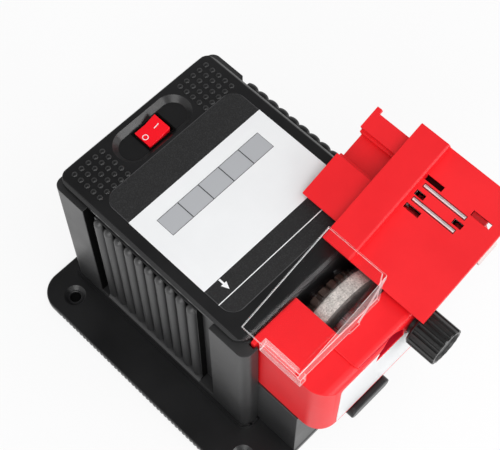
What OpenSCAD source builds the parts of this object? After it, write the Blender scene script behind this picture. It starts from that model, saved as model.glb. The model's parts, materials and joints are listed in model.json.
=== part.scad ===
// Electric bench sharpener for chisels and plane blades.
// Frame: +Z up, the front with the wheel and the knob faces -Y, +X to the right of someone facing it.
// Origin: centre of the four mounting holes, on the underside of the base plate.

/* [Base plate] */
// Width of the base flange
base_w = 188; // [184:1:230]
// Depth of the base flange
base_d = 195; // [192:1:230]
// Thickness of the base flange
base_t = 5.5; // [4.5:0.5:9]
// Corner radius of the base flange
base_corner_r = 16; // [8:1:22]
// Height of the plinth that locates the body
plinth_h = 2; // [1.5:0.5:4]
// Reach of the plinth past the body
plinth_reach = 1.7; // [1:0.1:3]
// Mounting hole spacing across
bolt_span_x = 157.2; // [152:0.2:164]
// Mounting hole spacing front to back
bolt_span_y = 154; // [140:1:164]
// Mounting hole diameter
bolt_hole_d = 7; // [5:0.5:8]
// Diameter of the sunk seat round a mounting hole
bolt_sink_d = 14.4; // [12:0.2:18]
// Depth of the sunk seat round a mounting hole
bolt_sink_t = 2.4; // [1:0.2:3]
// Diameter of a rubber foot
foot_d = 14; // [8:1:18]
// Height that a rubber foot stands below the base
foot_h = 1.5; // [1:0.5:4]
// Depth that a rubber foot is let into the base
foot_sink = 1; // [0.5:0.5:2]
// Distance from a mounting hole to its foot
foot_step = 24; // [20:1:30]

/* [Body] */
// Width over the corner posts
body_w = 130.6; // [128:0.2:140]
// Back face of the body
body_back_y = 90; // [85:1:95]
// Height of the ledge that carries the cover
body_top_z = 121.5; // [119:0.5:126]
// Radius of the body's upright corners
body_corner_r = 6; // [3:0.5:8]
// Front face of the front posts
post_front_y = -66; // [-69:0.5:-65.5]
// Depth of a front post
front_post_l = 28; // [24:1:32]
// Depth of a rear post
rear_post_l = 26; // [20:1:28]
// Width of the front upright slot
front_slot_w = 12.6; // [8:0.2:14]
// Width of the rear upright slot
rear_slot_w = 5.6; // [4:0.2:8]
// Depth of the front upright slot
front_slot_depth = 7.6; // [6:0.2:10]
// Depth of the rear upright slot
rear_slot_depth = 13; // [8:0.5:14]
// Depth of the ribbed panel behind the posts
panel_inset = 3.3; // [2.5:0.1:4]
// Wall behind the slots
wall = 3; // [2.5:0.5:3.5]
// Front wall, outer face
front_wall_y = -59.5; // [-60:0.1:-59.4]
// Number of half-round ribs on each side
rib_count = 10; // [6:1:10]
// Radius of a rib
rib_r = 3.6; // [2.5:0.1:4]
// Distance between ribs
rib_pitch = 8.44; // [8.2:0.02:8.6]
// Rise of the rib ends above the base
rib_foot_z = 16; // [12:1:24]
// Drop of the ledge over the ribs below the body's top
rib_ledge = 3; // [2:0.5:4]
// Front face of the low nose under the module
nose_front_y = -97; // [-97.4:0.1:-92]
// Depth of the groove for the module's lip in a post
groove_depth = 2; // [1.5:0.1:3]

/* [Cover] */
// Height of the cover above its ledge
cover_h = 4; // [3:0.5:5.5]
// Width of the ledge left beside the cover
cover_ledge = 3.8; // [3:0.2:6]
// Bevel along the cover's edges
cover_bevel = 2; // [1:0.2:2.6]
// Corner radius of the cover
cover_corner_r = 8; // [3:0.5:8]
// Wall of the cover's locating skirt
cover_skirt_t = 2; // [1.5:0.5:3]
// Depth of the cover's locating skirt
cover_skirt_h = 3; // [2:0.5:6]
// Length of the switch recess at the top
recess_l = 56; // [50:1:60]
// Width of the switch recess at the top
recess_w = 24; // [24:0.5:25]
// Depth of the switch recess
recess_depth = 3.6; // [3:0.2:4]
// Slope of the recess walls, measured in plan
recess_slope = 3.3; // [1:0.1:3.3]
// Floor thickness of the recess
recess_floor = 2.5; // [2:0.5:4]
// Middle of the switch recess, front to back
recess_y = 74.1; // [73:0.1:75]
// Width of the sticker on the cover
label_w = 105.8; // [90:0.2:112]
// Depth of the sticker on the cover
label_d = 105; // [90:1:108]
// Corner radius of the sticker
label_r = 9; // [4:1:14]
// Thickness of a sticker
label_t = 0.3; // [0.2:0.1:0.6]
// Middle of the cover sticker, front to back
label_y = 7.5; // [5:0.5:10]

/* [Switch] */
// Place of the switch across, from the recess middle
switch_x = -1; // [-2:0.1:2]
// Step of the switch forward of the recess middle
switch_step = 0.5; // [0:0.1:0.5]
// Shift of the switch frame toward the rocker's raised end
frame_shift = 0.9; // [0:0.1:0.9]
// Length of the rocker
rocker_l = 16.6; // [15:0.2:18]
// Width of the rocker
rocker_w = 13.4; // [11:0.2:13.4]
// Swing of the rocker between off and on
rocker_swing = 18; // [12:1:22]
// Rim of the switch frame round the rocker
switch_rim = 1.2; // [1:0.1:1.2]
// Height of the switch frame above the recess floor
switch_rim_h = 0.5; // [0.4:0.1:1.6]
// Height of the rocker's low face above its pivot
rocker_rise = 2.2; // [2:0.1:3]
// Depth of the rocker's pivot below the recess floor
rocker_drop = 0.8; // [0:0.1:1.2]
// Depth of the switch body below the recess floor
switch_depth = 16; // [12:1:20]

/* [Motor] */
// Depth of the motor and wheel axis below the body's top
axis_drop = 30; // [29.5:0.5:32]
// Diameter of the motor shaft
shaft_d = 8; // [7:0.5:9]
// Outer diameter of the field core
core_d = 52; // [48:0.5:53]
// Length of the field core
core_l = 30; // [24:1:36]
// Bore of the field core
core_bore_d = 30; // [28:0.5:31]
// Radial gap between armature and field core
air_gap = 0.5; // [0.3:0.1:0.8]
// Radial depth of the field coil windows
coil_depth = 6; // [4:0.5:7]
// Reach of the coil heads past the core
coil_head = 6; // [4:0.5:8]
// Length of the front end bell
front_bell_l = 25.5; // [24:0.5:30]
// Length of the rear end bell
rear_bell_l = 32; // [30:0.5:36]
// Wall of the end bells
bell_t = 3; // [2.5:0.5:4]
// Outer diameter of a ball bearing
bearing_d = 22; // [19:1:24]
// Width of a ball bearing
bearing_w = 7; // [6:0.5:8]
// Number of armature slots
armature_slots = 12; // [8:2:16]
// Diameter of the commutator
commutator_d = 20; // [17:0.5:22]
// Length of the commutator
commutator_l = 12; // [10:0.5:13]
// Diameter of the cooling fan
fan_d = 42; // [34:1:43]
// Number of fan blades
fan_blades = 9; // [5:1:13]
// Width of a carbon brush
brush_w = 6; // [4:0.5:7]
// Diameter of the motor fixing screws
motor_screw_d = 3.5; // [3:0.5:4]

/* [Wheel] */
// Diameter of the grinding wheel
wheel_d = 67; // [62:0.5:68]
// Thickness of the grinding wheel
wheel_t = 10; // [8:0.5:11]
// Bore of the grinding wheel
wheel_bore_d = 12.7; // [12:0.1:14]
// Chamfer of the wheel rim
wheel_chamfer = 1; // [0.5:0.1:1.5]
// Back face of the grinding wheel
wheel_back_y = -72; // [-73:0.5:-71]
// Diameter of the inner flange
inner_flange_d = 50; // [40:1:54]
// Thickness of the inner flange
inner_flange_t = 7.5; // [5:0.5:8]
// Number of lugs round the inner flange
flange_lugs = 22; // [12:1:26]
// Width of a lug
lug_w = 4.6; // [3:0.2:5]
// Height of a lug
lug_h = 3; // [2:0.2:4]
// Diameter of the outer flange
outer_flange_d = 28; // [22:1:34]
// Thickness of the outer flange
outer_flange_t = 3; // [2:0.5:4]
// Wheel nut size across flats
nut_af = 13; // [12:0.5:17]
// Wheel nut thickness
nut_t = 5; // [4:0.5:7]

/* [Module] */
// Width of the module
module_w = 106.6; // [104:0.2:108]
// Front face of the module
module_front_y = -113.8; // [-115.5:0.1:-113]
// Back edge of the module
module_back_y = -60.4; // [-60.6:0.1:-59.9]
// Rise of the module's deck above the body's top
deck_rise = 3; // [2:0.1:4]
// Height of the module from its lower edge to its deck
module_h = 58.5; // [55:0.5:60]
// Drop of the shoulder at the deck's left front
shoulder_drop = 1.2; // [0.6:0.2:2]
// Right edge of the shoulder
shoulder_x = -27; // [-30:1:-24]
// Wall of the module shell
module_wall = 2.5; // [2:0.5:3.5]
// Radius of the module's top front edge
module_edge_r = 4.5; // [3:0.5:6]
// Radius of the shoulder's top front edge
shoulder_edge_r = 5.8; // [4:0.1:6]
// Radius of the module's upright front corners
module_corner_r = 13; // [8:0.5:16]
// Half width of the wheel window
window_x = 19.3; // [18:0.1:22]
// Front edge of the wheel window
window_front_y = -92; // [-92.4:0.1:-87]
// Reach of the module's lip into a post
lip_reach = 2.2; // [1.8:0.1:2.6]
// Thickness of the module's lip
lip_t = 2.8; // [2:0.1:3.2]
// Radius of the arched recess in the front
arch_r = 11.5; // [8:0.5:12]
// Middle of the arched recess, across
arch_x = 0.8; // [-2:0.1:2]
// Height of the arched recess's straight sides
arch_side = 3; // [0:0.5:3]
// Depth of the arched recess's sill below the deck
arch_drop = 16.2; // [16:0.1:24]
// Depth of the arched recess
arch_depth = 12; // [4:0.5:13]
// Depth of the front sticker's top below the deck
plate_drop = 7.2; // [7:0.1:14]
// Height of the front sticker
plate_h = 50.6; // [30:0.1:51]
// Left edge of the front sticker
plate_left_x = -40; // [-40:0.5:-20]
// Right edge of the front sticker
plate_right_x = 39; // [6:0.5:40]

/* [Release catch] */
// Length of the release catch
catch_l = 32; // [24:1:40]
// Height of the release catch
catch_h = 8.6; // [7:0.2:12]
// Reach of the catch from the front face
catch_reach = 4; // [3.5:0.5:6]
// Travel of the catch
catch_travel = 3; // [2:0.5:3]
// Middle of the catch, across
catch_x = -13.5; // [-18:0.5:-8]
// Depth of the catch's middle below the module's lower edge
catch_drop = 6.5; // [6:0.5:10]
// Length of the catch from front to back
catch_d = 16; // [12:0.5:17]
// Width of the catch's neck
neck_w = 12; // [8:0.5:16]
// Depth of the catch's neck
neck_d = 6; // [4:0.5:7]

/* [Shield] */
// Thickness of the clear shield
shield_t = 2; // [1.5:0.1:2.5]
// Length of the sloping plate
shield_l = 71; // [64:0.5:71]
// Rise of the plate's left edge above the deck
shield_rise = 10.5; // [8:0.5:13]
// Back edge of the plate
shield_back_y = -54; // [-55:0.5:-52]
// Front face of the shield
shield_front_y = -94.5; // [-95:0.1:-94]
// Reach of the left rail below the deck
shield_drop = 0.6; // [0.4:0.1:4]
// Width of the rail along the left side
rail_w = 5; // [3:0.1:6]
// Reach of the rail in front of the front skirt
rail_reach = 3; // [1:0.1:4]
// Thickness of the three-cornered web on the front skirt
web_t = 1.2; // [0.8:0.1:2]
// Width of the snap tab on the front skirt
snap_w = 8; // [5:0.5:12]
// Middle of the snap tab, across
snap_x = -11; // [-14:0.5:-6]

/* [Tool table] */
// Slope of the guide and table
tilt = 20; // [19:0.5:22]
// Left edge of the table, across
table_x = 15.4; // [15:0.1:17]
// Rise of the table's left edge above the deck
table_rise = 5; // [5:0.1:7]
// Length of the table along its slope
table_l = 84; // [80:1:92]
// Thickness of the table
table_t = 3; // [2.5:0.1:3.4]
// Front edge of the table
table_front_y = -121.2; // [-123:0.1:-119]
// Fence face that the tool rests against
fence_y = -69; // [-70:0.5:-68]
// Depth of the fence
fence_d = 20.5; // [18:0.5:22]
// Height of the fence above the table
fence_h = 5.5; // [4:0.5:7]
// Diameter of the steel rods
rod_d = 2; // [1.6:0.1:2.4]
// Length of the steel rods
rod_l = 29.5; // [24:0.5:31]
// Distance of the first rod from the left edge
rod_u = 49; // [48:0.5:50]
// Distance between the rods
rod_gap = 9.6; // [8:0.2:10]
// Width of the slots through the table
slit_w = 3.2; // [2.4:0.2:3.6]
// Length of the long slots
slit_long = 12; // [8:0.2:13]
// Length of the short slots
slit_short = 6.4; // [4:0.2:8]

/* [Guide channel] */
// Left edge of the guide along the slope
guide_u = 12; // [11:0.5:14]
// Right edge of the guide along the slope
guide_end_u = 74.5; // [72:0.5:78]
// Back end of the guide
guide_back_y = -20; // [-21:0.5:-17]
// Front end of the guide
guide_front_y = -111; // [-111:0.5:-106]
// Flange thickness of the guide
guide_t = 3; // [2.5:0.1:3.2]
// Left wall of the groove along the slope
groove_u = 42.3; // [41.5:0.1:43]
// Width of the groove mouth
groove_w = 19.7; // [19:0.1:20.5]
// Depth of the groove
groove_h = 11.5; // [10:0.5:12]
// Width of the ledge on each side in the groove
groove_ledge = 1.8; // [1.2:0.1:2.4]
// Depth of the ledges below the flange
groove_ledge_h = 5; // [3:0.5:6]
// Reach of the tongue into the groove
tongue_h = 9; // [7:0.5:9.5]
// Thickness of the pivot arm
arm_t = 5.9; // [4:0.1:6.5]
// Width of the pivot arm where it meets the guide
arm_w = 16; // [12:0.5:16]

/* [Knob] */
// Knob axis, across
knob_x = 20.5; // [20:0.1:22]
// Depth of the knob axis below the deck
knob_drop = 12; // [12:0.1:13]
// Knob diameter
knob_d = 24.6; // [20:0.2:25]
// Knob length
knob_l = 19.7; // [16:0.1:24]
// Number of flutes
knob_flutes = 16; // [10:1:20]
// Depth of the flutes
flute_depth = 1.1; // [0.5:0.1:1.2]
// Diameter of the knob's collar
collar_d = 15; // [12:0.5:16]
// Length of the knob's collar
collar_l = 3; // [2:0.5:5]
// Diameter of the pivot screw
screw_d = 6; // [5:0.5:6]

/* [Cord inlet] */
// Bore of the cord gland
gland_bore_d = 7.2; // [6:0.2:8]
// Flange diameter of the cord gland
gland_d = 16; // [14:0.5:20]
// Distance of the cord gland from the body's right side
gland_inset = 27.3; // [26:0.1:40]
// Middle of the cord gland, height
gland_z = 22; // [18:1:40]

/* [Clearances] */
// Gap between pieces that slide past each other
slide_gap = 0.3; // [0.25:0.05:0.4]
// Radial running clearance of a shaft
run_gap = 0.05; // [0.02:0.01:0.08]
// Radial gap of a pushed-on fit
push_gap = 0.02; // [0.01:0.01:0.04]

/* [Hidden] */
$fn = 64;

black = [0.09, 0.09, 0.1];
red = [0.86, 0.07, 0.08];
steel = [0.68, 0.69, 0.71];
copper = [0.72, 0.4, 0.2];

// Body, derived
body_l = body_back_y - post_front_y;
body_z = base_t + plinth_h;
panel_front_y = post_front_y + front_post_l + front_slot_w;
panel_back_y = body_back_y - rear_post_l - rear_slot_w;
panel_x = body_w / 2 - panel_inset;
front_slot_x = body_w / 2 - front_slot_depth;
rear_slot_x = body_w / 2 - rear_slot_depth;
rib_top_z = body_top_z - rib_ledge - 0.3;
cavity_x = panel_x - wall - 2;
cavity_front_y = front_wall_y + wall;
cavity_back_y = body_back_y - wall;
post_inner_x = module_w / 2 + 1;
rib_first_y = (panel_front_y + panel_back_y - (rib_count - 1) * rib_pitch) / 2;
rib_x = panel_x + panel_inset - 0.3 - rib_r;
base_screw_x = (cavity_x + body_w / 2) / 2;
base_screw_y = [post_front_y + front_post_l / 2 + 4, body_back_y - rear_post_l / 2];
base_screw_l = 12;
screw_head_d = 6.4;
screw_head_h = 2;
self_tap_d = 3;
gland_x = body_w / 2 - gland_inset;

// Cover, derived
cover_top_z = body_top_z + cover_h;
cover_x = body_w / 2 - cover_ledge;
cover_front_y = front_wall_y + 0.3;
recess_z = cover_top_z - recess_depth;
recess_floor_w = recess_w - 2 * recess_slope;

// Switch, derived
switch_y = recess_y - switch_step;
frame_x = switch_x + frame_shift;
pocket_l = rocker_l + 2.4;
pocket_w = rocker_w + 2 * slide_gap;
switch_l = pocket_l + 2 * switch_rim;
switch_w = pocket_w + 2 * switch_rim;
switch_body_l = switch_l - 1;
switch_body_w = switch_w - 1;
rocker_pivot_z = recess_z - rocker_drop;
rocker_r = rocker_l / 2 - 0.4;

// Motor, derived
axis_z = body_top_z - axis_drop;
bell_front_y = cavity_front_y;
core_front_y = bell_front_y + front_bell_l;
core_back_y = core_front_y + core_l;
bell_back_y = core_back_y + rear_bell_l;
armature_d = core_bore_d - 2 * air_gap;
coil_r0 = core_bore_d / 2 + 0.6;
coil_r1 = coil_r0 + coil_depth;
coil_angle = 33;
bearing_wall = 2.5;
commutator_y = core_back_y + coil_head + 3;
brush_y = commutator_y + commutator_l / 2;
motor_screw_r = core_d / 2 - 6;
motor_screw_l = 8;
fan_y = bell_front_y + bearing_w + 1.2;
fan_l = front_bell_l - bearing_w - coil_head - 2.6;
holder_wall = 0.8;

// Wheel, derived
wheel_front_y = wheel_back_y - wheel_t;
outer_flange_y = wheel_front_y - outer_flange_t;
nut_y = outer_flange_y - nut_t;
shaft_front_y = nut_y - 2;
spigot_d = wheel_bore_d - 2 * run_gap;

// Module, derived
deck_z = body_top_z + deck_rise;
module_z = deck_z - module_h;
nose_top_z = module_z - slide_gap;
arch_z = deck_z - arch_drop;
plate_top_z = deck_z - plate_drop;
plate_bottom_z = plate_top_z - plate_h;
catch_z = module_z - catch_drop;
lip_y0 = post_front_y + 2 + slide_gap;
arm_y0 = module_front_y + module_wall + slide_gap;
arm_slot_x0 = knob_x - 2.5;
arm_slot_x1 = knob_x + 18;
neck_y = module_front_y + module_wall + 1.2;

// Shield, derived
shield_z = deck_z + shield_rise;
shield_x = -module_w / 2 - slide_gap - shield_t;
shield_right_x = shield_x + shield_l * cos(tilt);

// Guide and table, derived: u runs up the slope, w stands square to it
table_z = deck_z + table_rise;
guide_top_w = -table_t - slide_gap;
guide_low_w = guide_top_w - guide_t;
groove_floor_w = guide_top_w - groove_h;
channel_wall = 2;
tongue_u = groove_u + groove_ledge + slide_gap;
tongue_w = groove_w - 2 * groove_ledge - 2 * slide_gap;
tongue_low_w = -table_t - tongue_h;
fence_back_y = fence_y + fence_d;
rod_y0 = fence_y - 2.5 - rod_l;
slit_left_u = rod_u - 3.6 - slit_w;
slit_right_u = rod_u + rod_gap + 2.8;
knob_z = deck_z - knob_drop;
pivot_u = (knob_x - table_x) * cos(tilt) + (knob_z - table_z) * sin(tilt);
pivot_w = -(knob_x - table_x) * sin(tilt) + (knob_z - table_z) * cos(tilt);
boss_r = 7.5;

// Knob, derived
collar_y = module_front_y - slide_gap;
knob_y = collar_y - collar_l;
pivot_nut_af = 10;
pivot_nut_t = 5;
screw_front_y = knob_y - 8;
screw_back_y = arm_y0 + arm_t + pivot_nut_t + 0.5;

// Rectangle with round corners, centred
module rounded_rect(w, d, r) {
    square([w - 2 * r, d], center = true);
    square([w, d - 2 * r], center = true);
    for (x = [-1, 1], y = [-1, 1])
        translate([x * (w / 2 - r), y * (d / 2 - r)])
            circle(r);
}

// Block from its two opposite corners
module block(a, b) {
    translate(a)
        cube(b - a);
}

// Cylinder along Y from y0 to y1
module rod_y(r, y0, y1) {
    translate([0, y1, 0])
        rotate([90, 0, 0])
            cylinder(r = r, h = y1 - y0);
}

// Puts its children on the motor axis
module on_axis() {
    translate([0, 0, axis_z])
        children();
}

// Turns a shape drawn in u and w into the sloping frame of the guide
module on_slope() {
    translate([table_x, 0, table_z])
        rotate([0, -tilt, 0])
            children();
}

// Profile drawn in x and z, drawn out along Y from y0 to y1
module along_y(y0, y1) {
    translate([0, y1, 0])
        rotate([90, 0, 0])
            linear_extrude(y1 - y0)
                children();
}

// Profile drawn in y and z, drawn out along X from x0 to x1
module along_x(x0, x1) {
    translate([x0, 0, 0])
        rotate([90, 0, 90])
            linear_extrude(x1 - x0)
                children();
}

// Places of the four mounting holes
module at_bolts() {
    for (x = [-1, 1], y = [-1, 1])
        translate([x * bolt_span_x / 2, y * bolt_span_y / 2, 0])
            children();
}

// Places of the rubber feet, inboard of the mounting holes
module at_feet() {
    for (x = [-1, 1], y = [-1, 1])
        translate([x * bolt_span_x / 2, y * (bolt_span_y / 2 - foot_step), 0])
            children();
}

// Places of the screws that hold the body on the base
module at_base_screws() {
    for (x = [-1, 1], y = base_screw_y)
        translate([x * base_screw_x, y, 0])
            children();
}

// Outline of the body's footprint, larger all round by grow
module body_outline(grow) {
    translate([0, (body_back_y + post_front_y) / 2])
        rounded_rect(body_w + 2 * grow, body_l + 2 * grow, body_corner_r + grow);
}

// Space in front of the front wall that the module drops into
module module_bay(z0, z1) {
    block([-post_inner_x, post_front_y - plinth_reach - 1, z0], [post_inner_x, front_wall_y, z1]);
}

module base_plate() {
    color(black)
        difference() {
            union() {
                linear_extrude(base_t)
                    rounded_rect(base_w, base_d, base_corner_r);
                difference() {
                    translate([0, 0, base_t])
                        linear_extrude(plinth_h)
                            body_outline(plinth_reach);
                    module_bay(base_t, body_z + 1);
                }
            }
            at_bolts()
                translate([0, 0, -1])
                    cylinder(d = bolt_hole_d, h = base_t + 2);
            at_bolts()
                translate([0, 0, base_t - bolt_sink_t])
                    cylinder(d1 = bolt_hole_d + 2.4, d2 = bolt_sink_d, h = bolt_sink_t + 0.01);
            at_feet()
                translate([0, 0, -1])
                    cylinder(d = foot_d + 2 * push_gap, h = foot_sink + 1);
            at_base_screws() {
                translate([0, 0, -1])
                    cylinder(d = self_tap_d + 0.4, h = body_z + 2);
                translate([0, 0, -1])
                    cylinder(d = screw_head_d + 0.6, h = screw_head_h + 1.4);
            }
        }
}

module rubber_feet() {
    color([0.05, 0.05, 0.05])
        at_feet()
            translate([0, 0, -foot_h])
                cylinder(d1 = foot_d - 2, d2 = foot_d, h = foot_h + foot_sink);
}

module base_screws() {
    color(steel)
        at_base_screws() {
            translate([0, 0, 0.4])
                cylinder(d = screw_head_d, h = screw_head_h);
            translate([0, 0, 0.4])
                cylinder(d = self_tap_d, h = base_screw_l);
        }
}

// Upright cut in a side from y0 to y1, as deep as x0
module side_cut(x0, y0, y1, z0) {
    for (s = [-1, 1])
        translate([s > 0 ? x0 : -body_w / 2 - 1, y0, z0])
            cube([body_w / 2 + 1 - x0, y1 - y0, body_top_z - z0 + 1]);
}

// Cut for the ribbed panel in both sides, with a sloping foot and a ledge over the ribs
module panel_cut() {
    far_x = body_w / 2 + 1;
    ledge_z = body_top_z - rib_ledge;
    for (s = [-1, 1])
        along_y(panel_front_y, panel_back_y)
            polygon([[s * panel_x, rib_foot_z], [s * far_x, rib_foot_z - 6], [s * far_x, body_top_z + 1],
                [s * (panel_x - 3), body_top_z + 1], [s * (panel_x - 3), ledge_z], [s * panel_x, ledge_z]]);
}

// One half-round rib with domed ends
module rib() {
    translate([0, 0, rib_foot_z + rib_r])
        cylinder(r = rib_r, h = rib_top_z - rib_foot_z - 2 * rib_r);
    for (z = [rib_foot_z + rib_r, rib_top_z - rib_r])
        translate([0, 0, z])
            sphere(rib_r);
}

// Walls round the deep slots inside the body, larger all round by grow
module slot_boxes(grow, z0, z1) {
    for (s = [-1, 1], y = [post_front_y + front_post_l, panel_back_y]) {
        len = y < 0 ? front_slot_w : rear_slot_w;
        depth = y < 0 ? front_slot_depth : rear_slot_depth;
        x0 = body_w / 2 - depth - wall - grow;
        translate([s > 0 ? x0 : -x0 - depth, y - wall - grow, z0])
            cube([depth, len + 2 * wall + 2 * grow, z1 - z0]);
    }
}

// Low box in front of the front wall, open at the top for the dust
module nose() {
    difference() {
        block([-post_inner_x, nose_front_y, base_t], [post_inner_x, front_wall_y + 0.1, nose_top_z]);
        block([wall - post_inner_x, nose_front_y + wall, base_t - 1],
            [post_inner_x - wall, front_wall_y + 1, nose_top_z + 1]);
    }
}

module body_shell() {
    color(black)
        difference() {
            union() {
                nose();
                difference() {
                    translate([0, 0, body_z])
                        linear_extrude(body_top_z - body_z)
                            body_outline(0);
                    panel_cut();
                    side_cut(front_slot_x, post_front_y + front_post_l, panel_front_y + 0.01, rib_foot_z - 3);
                    side_cut(rear_slot_x, panel_back_y - 0.01, body_back_y - rear_post_l, rib_foot_z - 3);
                    module_bay(body_z - 1, body_top_z + 1);
                }
                for (s = [-1, 1], i = [0:rib_count - 1])
                    translate([s * rib_x, rib_first_y + i * rib_pitch, 0])
                        rib();
            }
            difference() {
                block([-cavity_x, cavity_front_y, body_z - 1], [cavity_x, cavity_back_y, body_top_z + 1]);
                slot_boxes(0, body_z - 2, body_top_z + 2);
            }
            for (s = [-1, 1])
                translate([s * post_inner_x - groove_depth, lip_y0 - slide_gap, nose_top_z])
                    cube([2 * groove_depth, lip_t + 2 * slide_gap, body_top_z]);
            on_axis() {
                rod_y(shaft_d / 2 + 2, front_wall_y - 1, cavity_front_y + 1);
                for (s = [-1, 1])
                    translate([s * motor_screw_r, 0, 0])
                        rod_y(motor_screw_d / 2 + 0.3, front_wall_y - 1, cavity_front_y + 1);
            }
            translate([gland_x, 0, gland_z])
                rod_y(gland_d / 2 - 2, cavity_back_y - 1, body_back_y + 1);
            at_base_screws()
                translate([0, 0, body_z - 1])
                    cylinder(d = self_tap_d + 2 * push_gap, h = base_screw_l - body_z + 3);
        }
}

// Oblong with round ends, drawn along X
module oblong(l, w) {
    square([l - w, w], center = true);
    for (s = [-1, 1])
        translate([s * (l - w) / 2, 0])
            circle(w / 2);
}

// Recess with sloping walls and round ends
module switch_recess() {
    span = recess_l - recess_w;
    for (s = [-1, 1])
        translate([s * span / 2, recess_y, recess_z])
            cylinder(d1 = recess_floor_w, d2 = recess_w, h = recess_depth);
    translate([0, recess_y, recess_z])
        along_x(-span / 2, span / 2)
            polygon([[-recess_floor_w / 2, 0], [recess_floor_w / 2, 0],
                [recess_w / 2, recess_depth], [-recess_w / 2, recess_depth]]);
}

module top_cover() {
    mid_y = (cover_front_y + body_back_y) / 2;
    len_y = body_back_y - cover_front_y;
    skirt_in = slide_gap + cover_skirt_t;
    color(black)
        difference() {
            union() {
                intersection() {
                    translate([0, mid_y, body_top_z])
                        linear_extrude(cover_h)
                            rounded_rect(2 * cover_x, len_y, cover_corner_r);
                    along_y(cover_front_y - 1, body_back_y + 1)
                        polygon([[-cover_x, body_top_z], [cover_x, body_top_z],
                            [cover_x, cover_top_z - cover_bevel], [cover_x - cover_bevel, cover_top_z],
                            [cover_bevel - cover_x, cover_top_z], [-cover_x, cover_top_z - cover_bevel]]);
                    along_x(-cover_x - 1, cover_x + 1)
                        polygon([[cover_front_y, body_top_z], [body_back_y, body_top_z],
                            [body_back_y, cover_top_z - 0.6], [body_back_y - 0.6, cover_top_z],
                            [cover_front_y + cover_bevel, cover_top_z],
                            [cover_front_y, cover_top_z - cover_bevel]]);
                }
                translate([0, 0, body_top_z - cover_skirt_h])
                    difference() {
                        block([slide_gap - cavity_x, cavity_front_y + slide_gap, 0],
                            [cavity_x - slide_gap, cavity_back_y - slide_gap, cover_skirt_h + 0.5]);
                        block([skirt_in - cavity_x, cavity_front_y + skirt_in, -1],
                            [cavity_x - skirt_in, cavity_back_y - skirt_in, cover_skirt_h]);
                        slot_boxes(slide_gap, -1, cover_skirt_h);
                    }
                translate([0, recess_y, recess_z - recess_floor])
                    linear_extrude(recess_depth + recess_floor - 1)
                        oblong(recess_l, recess_w);
            }
            switch_recess();
            translate([frame_x, switch_y, recess_z - recess_floor - 1])
                linear_extrude(recess_floor + 2)
                    square([switch_body_l + 2 * slide_gap, switch_body_w + 2 * slide_gap], center = true);
        }
}

module cover_label() {
    color([0.9, 0.9, 0.9])
        translate([0, label_y, cover_top_z])
            linear_extrude(label_t)
                rounded_rect(label_w, label_d, label_r);
}

// Moves its children to the rocker's pivot
module at_rocker() {
    translate([switch_x, switch_y, rocker_pivot_z])
        children();
}

module switch_frame() {
    color([0.04, 0.04, 0.04])
        difference() {
            translate([frame_x, switch_y, recess_z]) {
                linear_extrude(switch_rim_h)
                    square([switch_l, switch_w], center = true);
                translate([0, 0, -switch_depth])
                    linear_extrude(switch_depth + 0.01)
                        square([switch_body_l, switch_body_w], center = true);
            }
            at_rocker() {
                rod_y(rocker_r + slide_gap, -pocket_w / 2, pocket_w / 2);
                translate([frame_shift - pocket_l / 2, -pocket_w / 2, -2.5])
                    cube([pocket_l, pocket_w, rocker_l]);
            }
        }
}

// Two flat faces that meet at a shallow angle, over a round belly; the raised end is the off position
module rocker() {
    half = rocker_l / 2;
    rise = half * tan(rocker_swing);
    low = rocker_rise;
    color(red)
        at_rocker() {
            along_y(-rocker_w / 2, rocker_w / 2)
                polygon([[-half, low], [0, low], [half, low + rise], [rocker_r, 0], [-rocker_r, 0]]);
            intersection() {
                rod_y(rocker_r, -rocker_w / 2, rocker_w / 2);
                block([-rocker_l, -rocker_w, -rocker_l], [rocker_l, rocker_w, 0.01]);
            }
        }
}

module cord_gland() {
    color([0.06, 0.06, 0.06])
        translate([gland_x, 0, gland_z])
            difference() {
                union() {
                    rod_y(gland_d / 2, body_back_y, body_back_y + 2.5);
                    rod_y(gland_d / 2 - 2 - push_gap, cavity_back_y, body_back_y + 1);
                    rod_y(gland_d / 2 - 0.5, cavity_back_y - 2, cavity_back_y);
                }
                rod_y(gland_bore_d / 2, cavity_back_y - 3, body_back_y + 4);
            }
}

// Cup with a bearing seat in its end wall, open towards the field core
module end_bell(y0, y1, seat_y0, seat_y1, end_y0, end_y1) {
    seat_r = bearing_d / 2 + push_gap;
    on_axis()
        difference() {
            union() {
                difference() {
                    rod_y(core_d / 2, y0, y1);
                    rod_y(core_d / 2 - bell_t, y0 - 1, y1 + 1);
                }
                rod_y(core_d / 2 - 0.5, end_y0, end_y1);
                rod_y(seat_r + bearing_wall, seat_y0, seat_y1);
            }
            rod_y(seat_r, seat_y0 - 1, seat_y1 + 1);
            for (a = [45:90:315])
                rotate([0, a, 0])
                    translate([core_d / 2 - bell_t - 5, 0, 0])
                        rod_y(3, y0 - 1, y1 + 1);
            for (s = [-1, 1])
                translate([s * motor_screw_r, 0, 0])
                    rod_y(motor_screw_d / 2 + push_gap, end_y0 - 1, end_y1 + 1);
        }
}

module front_end_bell() {
    color([0.75, 0.76, 0.78])
        end_bell(bell_front_y, core_front_y, bell_front_y, bell_front_y + bearing_w,
            bell_front_y, bell_front_y + bell_t);
}

module rear_end_bell() {
    slot_w = brush_w + 2 * holder_wall + 2 * push_gap;
    color([0.75, 0.76, 0.78])
        difference() {
            end_bell(core_back_y, bell_back_y, bell_back_y - bearing_w, bell_back_y,
                bell_back_y - bell_t, bell_back_y);
            on_axis()
                translate([0, brush_y, 0])
                    cube([core_d + 2, slot_w, slot_w], center = true);
        }
}

// Sector of a ring between two angles, as a flat shape
module ring_sector(r0, r1, a0, a1) {
    far = 2 * r1;
    intersection() {
        difference() {
            circle(r1);
            circle(r0);
        }
        polygon([[0, 0], [far * cos(a0), far * sin(a0)],
            [far * cos((a0 + a1) / 2), far * sin((a0 + a1) / 2)], [far * cos(a1), far * sin(a1)]]);
    }
}

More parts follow.
